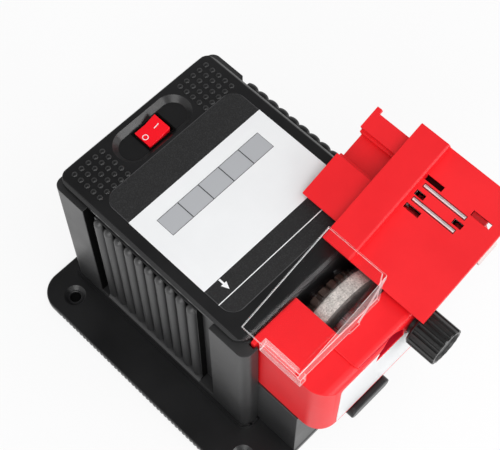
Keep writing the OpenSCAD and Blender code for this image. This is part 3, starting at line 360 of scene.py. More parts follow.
def put(tree, kind, **sockets):
    """Adds a node and sets the sockets that are named."""
    item = tree.nodes.new(kind)
    for name, value in sockets.items():
        socket(item, name).default_value = value
    return item


def socket(item, name):
    """An input that is in use, by its name, where an underscore stands for a space."""
    wanted = name.replace("_", " ")
    return next(s for s in item.inputs if s.name == wanted and s.enabled)


def join(tree, out, into):
    tree.links.new(out, into)


def maths(tree, kind, a, b=0.0, c=0.0):
    """A maths node whose terms are numbers or outputs."""
    item = tree.nodes.new("ShaderNodeMath")
    item.operation = kind
    for place, term in zip(item.inputs, (a, b, c)):
        if isinstance(term, (int, float)):
            place.default_value = term
        else:
            tree.links.new(term, place)
    return item.outputs[0]


def blend(tree, factor, first, second):
    """Mixes two colours, each a colour or an output, by a factor output."""
    item = tree.nodes.new("ShaderNodeMix")
    item.data_type = "RGBA"
    tree.links.new(factor, item.inputs[0])
    for place, term in ((item.inputs[6], first), (item.inputs[7], second)):
        if isinstance(term, bpy.types.NodeSocket):
            tree.links.new(term, place)
        else:
            place.default_value = (*term, 1.0)
    return item.outputs[2]


def spread(tree, value, low, high, to_low, to_high):
    """Carries a range of values over to another range."""
    item = put(tree, "ShaderNodeMapRange", From_Min=low, From_Max=high, To_Min=to_low, To_Max=to_high)
    tree.links.new(value, item.inputs[0])
    return item.outputs[0]


def shade(value, factor):
    return tuple(min(1.0, c * factor) for c in value)


def band(tree, value, low, high):
    """One inside a range, nought outside it."""
    above = maths(tree, "GREATER_THAN", value, low)
    return maths(tree, "MULTIPLY", above, maths(tree, "LESS_THAN", value, high))


def object_place(tree):
    """Object coordinates, whole and as x, y and z."""
    place = put(tree, "ShaderNodeTexCoord").outputs["Object"]
    axes = put(tree, "ShaderNodeSeparateXYZ")
    join(tree, place, axes.inputs[0])
    return (place, *axes.outputs)


def reach_past(tree, x, y, node, corner):
    """Distance outside the straight middle of a round-cornered plate; its edge lies at the corner radius."""
    low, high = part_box(node)
    mid, half = (low + high) / 2, (high - low) / 2
    past = []
    for value, centre, reach in ((x, mid.x, half.x), (y, mid.y, half.y)):
        away = maths(tree, "ABSOLUTE", maths(tree, "SUBTRACT", value, centre))
        past.append(maths(tree, "MAXIMUM", maths(tree, "SUBTRACT", away, reach - corner), 0.0))
    squares = maths(tree, "ADD", *(maths(tree, "POWER", term, 2.0) for term in past))
    return maths(tree, "SQRT", squares)


def new_group(name, inputs, outputs):
    """An empty shader group with number sockets."""
    group = bpy.data.node_groups.new(name, "ShaderNodeTree")
    for label, value in inputs:
        entry = group.interface.new_socket(label, in_out="INPUT", socket_type="NodeSocketFloat")
        entry.default_value = value
    for label in outputs:
        group.interface.new_socket(label, in_out="OUTPUT", socket_type="NodeSocketFloat")
    return group, group.nodes.new("NodeGroupInput"), group.nodes.new("NodeGroupOutput")


def moulded_grain():
    """Shared group: spark-eroded mould texture, slow patches of tone and fine rubbed streaks."""
    if "Moulded grain" in bpy.data.node_groups:
        return bpy.data.node_groups["Moulded grain"]
    group, ins, outs = new_group("Moulded grain", [("Grain", 2200.0), ("Patch", 28.0), ("Streak", 160.0)],
                                 ["Height", "Patch", "Streak"])
    place = put(group, "ShaderNodeTexCoord").outputs["Object"]
    grain = put(group, "ShaderNodeTexNoise", Detail=3.0, Roughness=0.6)
    patch = put(group, "ShaderNodeTexNoise", Detail=4.0, Roughness=0.55)
    streak = put(group, "ShaderNodeTexNoise", Detail=5.0, Roughness=0.7, Distortion=0.6)
    stretch = put(group, "ShaderNodeMapping", Scale=(1.0, 0.12, 1.0), Rotation=(0.0, 0.0, 0.6))
    join(group, place, stretch.inputs["Vector"])
    for item, source in ((grain, place), (patch, place), (streak, stretch.outputs[0])):
        join(group, source, socket(item, "Vector"))
    join(group, ins.outputs["Grain"], socket(grain, "Scale"))
    join(group, ins.outputs["Patch"], socket(patch, "Scale"))
    join(group, ins.outputs["Streak"], socket(streak, "Scale"))
    join(group, grain.outputs[0], outs.inputs["Height"])
    join(group, spread(group, patch.outputs[0], 0.3, 0.7, 0.0, 1.0), outs.inputs["Patch"])
    join(group, spread(group, streak.outputs[0], 0.56, 0.74, 0.0, 1.0), outs.inputs["Streak"])
    return group


def new_material(name):
    finish = bpy.data.materials.new(name)
    finish.use_nodes = True
    tree = finish.node_tree
    return finish, tree, tree.nodes["Principled BSDF"]


def use_group(tree, group, **values):
    item = tree.nodes.new("ShaderNodeGroup")
    item.node_tree = group
    for name, value in values.items():
        item.inputs[name].default_value = value
    return item


def relief(tree, shader, height, depth, strength=1.0):
    bump = put(tree, "ShaderNodeBump", Strength=strength, Distance=depth)
    join(tree, height, bump.inputs["Height"])
    join(tree, bump.outputs[0], shader.inputs["Normal"])


def print_over(finish, mask, ink):
    """Lays a colour over a finish where a mask is one."""
    tree = finish.node_tree
    entry = tree.nodes["Principled BSDF"].inputs["Base Color"]
    join(tree, blend(tree, mask, entry.links[0].from_socket, tuple(ink)), entry)


def let_through(tree, shader, share, tint):
    """Lets a share of the light, and all of the light for shadows, pass straight on."""
    straight = put(tree, "ShaderNodeBsdfTransparent", Color=tint)
    path = tree.nodes.new("ShaderNodeLightPath")
    mix = tree.nodes.new("ShaderNodeMixShader")
    join(tree, maths(tree, "MAXIMUM", path.outputs["Is Shadow Ray"], share), mix.inputs[0])
    join(tree, shader.outputs[0], mix.inputs[1])
    join(tree, straight.outputs[0], mix.inputs[2])
    join(tree, mix.outputs[0], tree.nodes["Material Output"].inputs["Surface"])


# Finishes

def plastic(name, base, rough, grain=2200.0, depth=0.06 * MM, strength=0.5, specular=0.5, wear=0.1):
    """Moulded plastic with a fine grain, patches of tone and rubbed streaks."""
    if name in bpy.data.materials:
        return bpy.data.materials[name]
    finish, tree, shader = new_material(name)
    base = tuple(base)
    look = use_group(tree, moulded_grain(), Grain=grain)
    tone = blend(tree, look.outputs["Patch"], shade(base, 1 - wear), shade(base, 1 + wear))
    worn = maths(tree, "MULTIPLY", look.outputs["Streak"], wear * 0.5)
    lighter = tuple(min(1.0, c * 1.2 + 0.012) for c in base)
    join(tree, blend(tree, worn, tone, lighter), shader.inputs["Base Color"])
    ground = spread(tree, look.outputs["Patch"], 0.0, 1.0, rough - 0.04, rough + 0.05)
    join(tree, maths(tree, "SUBTRACT", ground, maths(tree, "MULTIPLY", look.outputs["Streak"], 0.05)),
         shader.inputs["Roughness"])
    shader.inputs["Specular IOR Level"].default_value = specular
    relief(tree, shader, look.outputs["Height"], depth, strength)
    return finish


def black_plastic():
    return plastic("Black moulded plastic", colours().housing, rough=0.33, grain=1500.0, depth=0.05 * MM,
                   strength=0.35, wear=0.18)


def grained_plastic():
    return plastic("Black grained plastic", colours().housing, rough=0.44, grain=1100.0, depth=0.1 * MM,
                   specular=0.9, wear=0.18)


def knob_plastic():
    return plastic("Black knob plastic", colours().knob, rough=0.3, grain=1500.0, strength=0.4, wear=0.15)


def switch_plastic():
    return plastic("Black switch plastic", colours().slot, rough=0.4, grain=2600.0, depth=0.02 * MM,
                   strength=0.2, specular=0.12)


# Painted shade: near-black matte finish for the insides of slots and slits.
def painted_slot_shade():
    return plastic("Deep slot", colours().slot, rough=0.6, grain=900.0, depth=0.1 * MM, strength=0.4,
                   specular=0.1, wear=0.2)


def rubber():
    return plastic("Black rubber", colours().rubber, rough=0.62, grain=900.0, depth=0.1 * MM, strength=0.6,
                   specular=0.25, wear=0.2)


def carbon():
    return plastic("Carbon", colours().carbon, rough=0.7, grain=900.0, depth=0.1 * MM)


def red_moulding(name):
    return plastic(name, colours().module, rough=0.4, grain=1800.0, depth=0.03 * MM, strength=0.25,
                   specular=0.4, wear=0.04)


def red_plastic():
    return red_moulding("Red moulded plastic")


def shaded_red():
    return plastic("Shaded red", colours().arch, rough=0.5, grain=1800.0, depth=0.03 * MM, strength=0.25,
                   specular=0.2, wear=0.04)


# Painted shade: dark red finish for the slit walls and the pocket under them.
def painted_slit_shade():
    return plastic("Deep red slit", colours().slit_shade, rough=0.6, grain=900.0, depth=0.1 * MM, strength=0.4,
                   specular=0.1)


def rocker_plastic():
    return plastic("Red gloss plastic", colours().switch, rough=0.25, grain=2600.0, depth=0.02 * MM,
                   strength=0.2, specular=0.3, wear=0.03)


def flange_plastic():
    return plastic("Brown moulded plastic", colours().flange, rough=0.5, grain=900.0, depth=0.2 * MM,
                   strength=0.6, specular=0.4, wear=0.25)


def tongue_plastic():
    return plastic("Pale natural plastic", colours().tongue, rough=0.45, grain=1200.0, depth=0.08 * MM,
                   strength=0.4, specular=0.4, wear=0.04)


def white_plate(name):
    return plastic(name, colours().paper, rough=0.34, grain=1400.0, depth=0.02 * MM, strength=0.2,
                   specular=0.4, wear=0.015)


def bare_plate():
    return white_plate("Bare white plate")


def module_plate():
    """White plate of the module with a thin red line along its lower edge."""
    finish = white_plate("White module plate")
    tree = finish.node_tree
    z = object_place(tree)[3]
    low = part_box("module_label")[0]
    print_over(finish, band(tree, z, low.z - 1 * MM, low.z + sizes().plate_line), colours().module)
    return finish


def rod_lines():
    """Places of the two rods along the slope of the table."""
    low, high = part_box("support_rods")
    middle = ((low + high) / 2).dot(ALONG)
    half_gap = 4.8 * MM
    return middle - half_gap, middle + half_gap


def red_table():
    """Red plastic with a thin painted shadow round each rod that is let into the table."""
    finish = red_moulding("Red table plastic")
    tree = finish.node_tree
    half_width, past_end = 1.45 * MM, 0.45 * MM
    _, x, y, z = object_place(tree)
    place = maths(tree, "ADD", maths(tree, "MULTIPLY", x, ALONG.x), maths(tree, "MULTIPLY", z, ALONG.z))
    near = maths(tree, "ADD", *(band(tree, place, line - half_width, line + half_width)
                                for line in rod_lines()))
    low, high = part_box("support_rods")
    # Painted shadow in a narrow band along each rod.
    seam = maths(tree, "MULTIPLY", near, band(tree, y, low.y - past_end, high.y + past_end))
    print_over(finish, seam, colours().seam)
    return finish


def metal(name, base, rough, across="Y"):
    """Turned or drawn metal with fine lines along one axis."""
    if name in bpy.data.materials:
        return bpy.data.materials[name]
    finish, tree, shader = new_material(name)
    place = put(tree, "ShaderNodeTexCoord").outputs["Object"]
    scale = {"X": (0.05, 1, 1), "Y": (1, 0.05, 1), "Z": (1, 1, 0.05)}[across]
    stretch = put(tree, "ShaderNodeMapping", Scale=scale)
    join(tree, place, stretch.inputs["Vector"])
    lines = put(tree, "ShaderNodeTexNoise", Scale=2600.0, Detail=3.0)
    join(tree, stretch.outputs[0], lines.inputs["Vector"])
    tone = blend(tree, lines.outputs[0], shade(base, 0.86), shade(base, 1.12))
    join(tree, tone, shader.inputs["Base Color"])
    gloss = spread(tree, lines.outputs[0], 0.3, 0.7, rough - 0.07, rough + 0.09)
    join(tree, gloss, shader.inputs["Roughness"])
    shader.inputs["Metallic"].default_value = 1.0
    relief(tree, shader, lines.outputs[0], 0.03 * MM, 0.35)
    return finish


def turned_steel():
    return metal("Turned steel", colours().steel, rough=0.28)


def bonded_grit(name, tone):
    """Grinding wheel: pale and dark grains set in a grey bond."""
    finish, tree, shader = new_material(name)
    base = tuple(tone * c for c in colours().grit)
    place = put(tree, "ShaderNodeTexCoord").outputs["Object"]
    grains = put(tree, "ShaderNodeTexVoronoi", Scale=1250.0)
    fine = put(tree, "ShaderNodeTexNoise", Scale=3600.0, Detail=4.0)
    broad = put(tree, "ShaderNodeTexNoise", Scale=120.0, Detail=4.0)
    for item in (grains, fine, broad):
        join(tree, place, item.inputs["Vector"])
    parts = put(tree, "ShaderNodeSeparateColor")
    join(tree, grains.outputs["Color"], parts.inputs[0])
    bright = spread(tree, parts.outputs[0], 0.1, 0.9, 0.0, 1.0)
    pale = blend(tree, bright, shade(base, 0.78), shade(base, 1.42))
    dark = spread(tree, parts.outputs[1], 0.9, 0.94, 0.0, 0.45)
    speck = blend(tree, dark, pale, shade(base, 0.22))
    soot = maths(tree, "MULTIPLY", spread(tree, broad.outputs[0], 0.42, 0.68, 0.0, 1.0), 0.28)
    join(tree, blend(tree, soot, speck, shade(base, 0.5)), shader.inputs["Base Color"])
    shader.inputs["Roughness"].default_value = 0.85
    shader.inputs["Specular IOR Level"].default_value = 0.3
    height = maths(tree, "ADD", maths(tree, "MULTIPLY", grains.outputs["Distance"], 0.8), fine.outputs[0])
    relief(tree, shader, height, 0.2 * MM, 0.6)
    return finish


def clear_plastic():
    """Clear moulded plastic: light passes through it to what lies below."""
    finish, tree, shader = new_material("Clear plastic")
    look = use_group(tree, moulded_grain(), Grain=420.0, Patch=40.0)
    shader.inputs["Base Color"].default_value = (0.99, 0.99, 0.99, 1)
    shader.inputs["Transmission Weight"].default_value = 1.0
    shader.inputs["IOR"].default_value = 1.25
    join(tree, spread(tree, look.outputs["Streak"], 0.0, 1.0, 0.0, 0.03), shader.inputs["Roughness"])
    let_through(tree, shader, 0.9, (0.97, 0.97, 0.97, 1))
    return finish


def clear_edge():
    """Cut and rounded edges of the clear plastic, which gather light and look white."""
    finish, tree, shader = new_material("Clear plastic edge")
    look = use_group(tree, moulded_grain(), Grain=900.0, Patch=60.0)
    join(tree, blend(tree, look.outputs["Patch"], (0.8, 0.83, 0.84), (0.95, 0.96, 0.97)),
         shader.inputs["Base Color"])
    shader.inputs["Transmission Weight"].default_value = 0.2
    shader.inputs["IOR"].default_value = 1.45
    join(tree, spread(tree, look.outputs["Height"], 0.3, 0.7, 0.12, 0.3), shader.inputs["Roughness"])
    let_through(tree, shader, 0.3, (1.0, 0.97, 0.97, 1))
    return finish


def clear_haze():
    """Rail and front web of the clear plastic, milky where light runs along them."""
    finish, tree, shader = new_material("Clear plastic haze")
    look = use_group(tree, moulded_grain(), Grain=700.0, Patch=90.0)
    join(tree, blend(tree, look.outputs["Patch"], (0.93, 0.8, 0.8), (1.0, 0.93, 0.93)),
         shader.inputs["Base Color"])
    shader.inputs["Transmission Weight"].default_value = 0.4
    shader.inputs["IOR"].default_value = 1.25
    join(tree, spread(tree, look.outputs["Patch"], 0.0, 1.0, 0.12, 0.24), shader.inputs["Roughness"])
    let_through(tree, shader, 0.68, (1.0, 0.97, 0.97, 1))
    return finish


def cover_print():
    """Cover sticker: bare white panel with blank tiles, on a dark speckled ground with one thin line."""
    finish, tree, shader = new_material("Cover sticker")
    c, s = colours(), sizes()
    place, x, y, _ = object_place(tree)
    panel = band(tree, y, s.panel_front, s.panel_back)
    line = maths(tree, "MULTIPLY", band(tree, y, s.line_y - s.line_width / 2, s.line_y + s.line_width / 2),
                 maths(tree, "LESS_THAN", x, s.line_end))
    white = maths(tree, "MAXIMUM", panel, line)
    tile, outline = tile_masks(tree, x, y)
    specks = put(tree, "ShaderNodeTexVoronoi", Scale=2600.0)
    join(tree, place, specks.inputs["Vector"])
    fleck = put(tree, "ShaderNodeSeparateColor")
    join(tree, specks.outputs["Color"], fleck.inputs[0])
    light = spread(tree, fleck.outputs[0], 0.5, 1.0, 0.0, 1.0)
    ground = blend(tree, light, tuple(c.ink), shade(c.ink, 2.2))
    # Painted highlight: a paler band of the ground along the sticker's edge.
    reach = reach_past(tree, x, y, "cover_label", s.sticker_corner)
    rim_highlight = maths(tree, "GREATER_THAN", reach, s.sticker_corner - s.sticker_rim_highlight)
    ground = blend(tree, rim_highlight, ground, shade(c.ink, 4.0))
    look = use_group(tree, moulded_grain(), Grain=1400.0, Patch=20.0)
    paper = blend(tree, look.outputs["Patch"], shade(c.paper, 0.97), shade(c.paper, 1.02))
    paper = blend(tree, tile, paper, tuple(c.tile))
    paper = blend(tree, outline, paper, tuple(c.tile_line))
    join(tree, blend(tree, white, ground, paper), shader.inputs["Base Color"])
    join(tree, spread(tree, white, 0.0, 1.0, 0.5, 0.34), shader.inputs["Roughness"])
    shader.inputs["Specular IOR Level"].default_value = 0.35
    relief(tree, shader, maths(tree, "MULTIPLY", look.outputs["Height"],
                               maths(tree, "SUBTRACT", 1.0, white)), 0.08 * MM, 0.5)
    return finish


def tile_masks(tree, x, y):
    """Where the sticker's blank tiles lie, and where the lines round them lie."""
    s = sizes()
    half, side = s.tile_width / 2, s.tile_width / 2 - s.tile_side_line
    cell = maths(tree, "WRAP", x, half, -half)
    row = maths(tree, "MULTIPLY", band(tree, y, s.tile_front, s.tile_back),
                band(tree, x, -s.tile_row_end, s.tile_row_end))
    ends = band(tree, y, s.tile_front + s.tile_end_line, s.tile_back - s.tile_end_line)
    inside = maths(tree, "MULTIPLY", ends, band(tree, cell, -side, side))
    outline = maths(tree, "MULTIPLY", row, maths(tree, "SUBTRACT", 1.0, inside))
    return maths(tree, "MULTIPLY", row, inside), outline


# Operators, one for each piece or group of like pieces

class Build(bpy.types.Operator):
    """Base of the building steps."""

    bl_options = {"REGISTER", "UNDO"}

    def execute(self, context):
        self.build()
        rest()
        return {"FINISHED"}


class SHARPENER_OT_housing(Build):
    """Base plate, ribbed body and top cover with rounded moulded edges, and the rubber pieces"""

    bl_idname = "sharpener.housing"
    bl_label = "Housing"

    def build(self):
        black = black_plastic()
        self.serrate(softened("base_plate", black, 1.0 * MM, 3))
        self.paint_slot_shade(softened("body_shell", grained_plastic(), 0.5 * MM))
        inner_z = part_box("top_cover")[1].z - 3 * MM
        softened("top_cover", black, 0.5 * MM, 3, 30, lambda middle: middle.z < inner_z)
        softened("rubber_feet", rubber(), 0.4 * MM)
        softened("cord_gland", rubber(), 0.4 * MM)

    def paint_slot_shade(self, shell):
        """Paints shade on the inner faces of the upright slots: they get a near-black matte finish."""
        rear_y, rear_x = (58.2 * MM, 64.2 * MM), (52 * MM, 64.9 * MM)
        front_y, front_x = (-25.7 * MM, -25.1 * MM), (57.4 * MM, 62.2 * MM)

        def in_slot(face):
            y, across = face.center.y, abs(face.center.x)
            rear = within(y, rear_y) and within(across, rear_x)
            front = within(y, front_y) and within(across, front_x) and face.normal.y < -0.9
            return (rear or front) and abs(face.normal.z) < 0.5

        refinish(shell, painted_slot_shade(), in_slot)

    def serrate(self, plate):
        """Cuts a row of small round notches along both long sides of the base plate."""
        s = sizes()
        low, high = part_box("base_plate")
        first_y = (low.y + high.y - (s.notch_count - 1) * s.notch_pitch) / 2
        rest()
        bpy.ops.mesh.primitive_cylinder_add(vertices=14, radius=s.notch_radius, depth=20 * MM,
                                            location=(low.x - s.notch_out, first_y, 0))
        cutter = bpy.context.object
        bpy.ops.object.transform_apply(location=True)
        repeat_along_y(cutter, s.notch_count, s.notch_pitch)
        modify(cutter, "MIRROR")
        edit(cutter)
        bpy.ops.mesh.normals_make_consistent()
        bpy.ops.object.mode_set(mode="OBJECT")
        modify(plate, "BOOLEAN", operation="DIFFERENCE", solver="EXACT", object=cutter)
        bpy.data.objects.remove(cutter)
        smooth(plate)


class SHARPENER_OT_grip_bumps(Build):
    """Two fields of low round grip bumps beside the switch"""

    bl_idname = "sharpener.grip_bumps"
    bl_label = "Grip bumps"

    def build(self):
        s = sizes()
        steps = range(-(s.bump_rows // 2), s.bump_rows // 2 + 1)
        rest()
        made = [self.dome(side * s.field_x + i * s.bump_pitch, s.field_y + j * s.bump_pitch)
                for side in (-1, 1) for i in steps for j in steps]
        rest()
        for dome in made:
            dome.select_set(True)
        bpy.context.view_layer.objects.active = made[0]
        bpy.ops.object.join()
        piece = bpy.context.object
        smooth(piece, 50)
        settle(piece, "grip_bumps", "housing", black_plastic())

    def dome(self, x, y):
        """One flattened dome, cut off a little below the cover's top."""
        s = sizes()
        top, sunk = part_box("top_cover")[1].z, 0.1 * MM
        bpy.ops.mesh.primitive_uv_sphere_add(segments=14, ring_count=10, radius=s.bump_radius,
                                             location=(x, y, top))
        dome = bpy.context.object
        dome.scale.z = s.bump_height / s.bump_radius
        edit(dome)
        bpy.ops.mesh.bisect(plane_co=(x, y, top - sunk), plane_no=(0, 0, -1), clear_outer=True, use_fill=True)
        bpy.ops.object.mode_set(mode="OBJECT")
        return dome


class SHARPENER_OT_side_ribs(Build):
    """Right-hand ribs, which stand out past the cover's edge"""

    bl_idname = "sharpener.side_ribs"
    bl_label = "Side ribs"

    def build(self):
        s = sizes()
        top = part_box("body_shell")[1].z - s.rib_gap
        seat = s.rib_foot + s.rib_radius / 2
        flattened = (0.83, 1.36, 0.5)
        rest()
        bpy.ops.mesh.primitive_uv_sphere_add(segments=28, ring_count=18, radius=s.rib_radius,
                                             location=(s.rib_x, s.rib_first_y, seat))
        ribs = bpy.context.object
        ribs.scale = flattened
        bpy.ops.object.transform_apply(location=True, rotation=False, scale=True)
        edit_points(ribs, "VERT", lambda place: place.z > seat + WELD)
        bpy.ops.transform.translate(value=(0, 0, top - s.rib_radius / 2 - seat))
        bpy.ops.object.mode_set(mode="OBJECT")
        repeat_along_y(ribs, s.rib_count, s.rib_pitch)
        front = s.rib_first_y - s.rib_end
        back = s.rib_first_y + (s.rib_count - 1) * s.rib_pitch + s.rib_end
        for end, away in ((front, -1), (back, 1)):
            edit(ribs)
            bpy.ops.mesh.bisect(plane_co=(0, end, 0), plane_no=(0, away, 0), clear_outer=True, use_fill=True)
            bpy.ops.object.mode_set(mode="OBJECT")
        smooth(ribs, 60)
        settle(ribs, "side_ribs", "housing", black_plastic())


class SHARPENER_OT_cover_sticker(Build):
    """Large sticker on the cover, left bare, with a plain arrow"""

    bl_idname = "sharpener.cover_sticker"
    bl_label = "Cover sticker"

    def build(self):
        softened("cover_label", cover_print(), 0.08 * MM, 1, 60, name="cover_sticker_looks")
        s = sizes()
        top, lift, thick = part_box("cover_label")[1].z, 0.02 * MM, 0.04 * MM
        neck = s.arrow_tail - s.shaft_length
        tip = neck - s.head_length
        rest()
        bpy.ops.mesh.primitive_plane_add(size=1, location=(s.arrow_x, (s.arrow_tail + neck) / 2, top + lift))
        arrow = bpy.context.object
        arrow.scale = (s.shaft_width, s.shaft_length, 1)
        front = min(point.co.y for point in arrow.data.vertices)
        edit_points(arrow, "EDGE", lambda place: place.y < front + WELD)
        bpy.ops.mesh.extrude_region_move()
        widen = s.head_width / s.shaft_width
        bpy.ops.transform.resize(value=(widen, 1, 1), center_override=(s.arrow_x, neck, top))
        bpy.ops.mesh.extrude_region_move(TRANSFORM_OT_translate={"value": (0, tip - neck, 0)})
        bpy.ops.transform.resize(value=(0.02, 1, 1), center_override=(s.arrow_x, tip, top))
        bpy.ops.object.mode_set(mode="OBJECT")
        modify(arrow, "SOLIDIFY", thickness=thick, offset=-1)
        settle(arrow, "sticker_arrow", "housing", bare_plate())


class SHARPENER_OT_switch(Build):
    """Switch frame and red rocker with its plain bar and ring marks"""

    bl_idname = "sharpener.switch"
    bl_label = "Switch"

    def build(self):
        softened("switch_frame", switch_plastic(), 0.2 * MM)
        softened("rocker", rocker_plastic(), 0.45 * MM, 3)
        s = sizes()
        low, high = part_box("rocker")
        mid = (low + high) / 2
        joint = next(j for j in frame["joints"] if j["name"] == "switch_rock")
        ring_z = joint["pos_m"][2] + s.mark_rise
        swing = math.radians(joint["range_deg"][1])
        self.ring((mid.x - s.ring_left, mid.y, ring_z))
        self.bar((mid.x + s.bar_right, mid.y + s.bar_back, ring_z + s.bar_right * math.tan(swing)), swing)

    def ring(self, place):
        """Flat ring on the half of the rocker that lies level."""
        s = sizes()
        rest()
        bpy.ops.mesh.primitive_torus_add(major_segments=40, minor_segments=8, location=place,
                                         major_radius=s.mark / 2 - s.stroke / 2, minor_radius=s.stroke / 2)
        ring = bpy.context.object
        ring.scale.z = 0.16
        smooth(ring)
        settle(ring, "rocker_ring_mark", "switch", bare_plate())

    def bar(self, place, swing):
        """Flat bar on the half of the rocker that stands up."""
        s = sizes()
        rest()
        bpy.ops.mesh.primitive_cube_add(size=1, location=place, rotation=(0, -swing, 0))
        bar = bpy.context.object
        bar.scale = (s.mark, s.stroke * 1.2, 0.1 * MM)
        pick(bar)
        bpy.ops.object.transform_apply(location=False, rotation=False, scale=True)
        modify(bar, "BEVEL", width=0.04 * MM, segments=2)
        smooth(bar)
        settle(bar, "rocker_bar_mark", "switch", bare_plate())


class SHARPENER_OT_motor(Build):
    """Finishes of the motor inside the housing"""

    bl_idname = "sharpener.motor"
    bl_label = "Motor"

    def build(self):
        c = colours()
        groups = (
            (turned_steel(), ("front_bearing", "rear_bearing", "motor_screws", "base_screws", "motor_shaft")),
            (metal("Die-cast aluminium", c.cast, 0.45, "Z"), ("front_end_bell", "rear_end_bell")),
            (metal("Core laminations", c.stack, 0.5, "X"), ("field_core", "armature_core")),
            (metal("Winding wire", c.copper, 0.4),
             ("field_coils", "armature_winding", "commutator", "brush_holders")),
            (carbon(), ("carbon_brushes",)),
            (black_plastic(), ("cooling_fan",)),
        )
        for finish, nodes in groups:
            for node in nodes:
                paint(node, finish)


class SHARPENER_OT_wheel(Build):
    """Grinding wheel with its flanges and nut"""

    bl_idname = "sharpener.wheel"
    bl_label = "Wheel"

    def build(self):
        wheel = softened("grinding_wheel", bonded_grit("Bonded grit", 1.0), 0.3 * MM)
        # Painted shade: the wheel's front faces get a darker grit colour.
        refinish(wheel, bonded_grit("Dark bonded grit", 0.2), lambda face: face.normal.y < -0.7)
        softened("inner_flange", flange_plastic(), 0.5 * MM)
        softened("outer_flange", turned_steel(), 0.3 * MM)
        softened("wheel_nut", turned_steel(), 0.3 * MM)


class SHARPENER_OT_module(Build):
    """Red module shell with its bare front plate"""

    bl_idname = "sharpener.module"
    bl_label = "Module"

    def build(self):
        shell = softened("module_shell", red_plastic(), 0.45 * MM, 3)
        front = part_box("module_shell")[0].y
        # Painted shade: the faces inside the arched recess get a darker red.
        arch = ((-11.2 * MM, 12.8 * MM), (front + 0.8 * MM, front + 12.3 * MM), (106 * MM, 123.5 * MM))
        refinish(shell, shaded_red(), lambda face: all(map(within, face.center, arch)))
        softened("module_label", module_plate(), 0.08 * MM, 1, 60, name="module_plate_looks")


class SHARPENER_OT_release_catch(Build):
    """Black release catch at the module's front"""

    bl_idname = "sharpener.release_catch"
    bl_label = "Release catch"

    def build(self):
        softened("release_catch", black_plastic(), 0.9 * MM, 3)


class SHARPENER_OT_clear_shield(Build):
    """Clear shield whose edges gather light"""

    bl_idname = "sharpener.clear_shield"
    bl_label = "Clear shield"

    def build(self):
        shield = softened("clear_shield", clear_plastic(), 0.5 * MM, 3)
        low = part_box("clear_shield")[0]
        rail_x, rail_z, web_y = low.x + 5.2 * MM, low.z + 11 * MM, low.y + 3.2 * MM
        square_on = 0.96

        def on_edge(face):
            n = face.normal
            return max(abs(n.x), abs(n.y), abs(n.z), abs(n.dot(UPRIGHT))) < square_on

        def milky(face):
            rail = face.center.x < rail_x and face.center.z < rail_z
            web = face.normal.y < -square_on and face.center.y < web_y
            return (rail or web) and not on_edge(face)

        refinish(shield, clear_edge(), on_edge)
        refinish(shield, clear_haze(), milky)


class SHARPENER_OT_guide_channel(Build):
    """Red guide channel with its pivot nut"""

    bl_idname = "sharpener.guide_channel"
    bl_label = "Guide channel"

    def build(self):
        guide = softened("guide_channel", red_plastic(), 0.4 * MM)
        # Painted shade: the small faces of the pocket under the table's slits get the dark slit red.
        start = rod_lines()[1] + 2.2 * MM
        pocket_along, pocket_y = (start, start + 4.6 * MM), (-81.6 * MM, -68.4 * MM)
        largest = 70 * MM * MM

        def in_pocket(face):
            placed = within(face.center.dot(ALONG), pocket_along) and within(face.center.y, pocket_y)
            return placed and face.area < largest

        refinish(guide, painted_slit_shade(), in_pocket)
        softened("pivot_nut", turned_steel(), 0.3 * MM)


class SHARPENER_OT_tool_table(Build):
    """Red tool table with its fence, steel rods and pale tongue"""

    bl_idname = "sharpener.tool_table"
    bl_label = "Tool table"

    def build(self):
        table = softened("tool_table", red_table(), 0.35 * MM)
        softened("support_rods", metal("Bright steel", colours().rods, 0.42), 0.2 * MM)
        tongue = softened("slide_tongue", tongue_plastic(), 0.5 * MM)
        # Painted shade inside the slits: dark red in the table, near black in the tongue.
        self.paint_slit_shade(table, painted_slit_shade())
        self.paint_slit_shade(tongue, painted_slot_shade())

    def paint_slit_shade(self, piece, dark):
        """Paints shade on the walls of the slits, which run across the sloping table: they get a dark finish.
        """
        margin, below = 0.8 * MM, 0.5 * MM
        spans = []
        for axis in (ALONG, Vector((0, 1, 0))):
            places = [vertex.co.dot(axis) for vertex in piece.data.vertices]
            spans.append((axis, (min(places) + margin, max(places) - margin)))
        flats = [face for face in piece.data.polygons if face.normal.dot(UPRIGHT) > 0.99]
        top = max(flats, key=lambda face: face.area).center.dot(UPRIGHT)

        def slit_wall(face):
            inside = all(within(face.center.dot(axis), span) for axis, span in spans)
            upright = abs(face.normal.dot(UPRIGHT)) < 0.5
            return inside and upright and face.center.dot(UPRIGHT) < top - below

        refinish(piece, dark, slit_wall)


class SHARPENER_OT_knob(Build):
    """Fluted black knob and its screw"""

    bl_idname = "sharpener.knob"
    bl_label = "Knob"

    def build(self):
        softened("knob", knob_plastic(), 0.3 * MM)
        softened("pivot_screw", turned_steel(), 0.3 * MM)


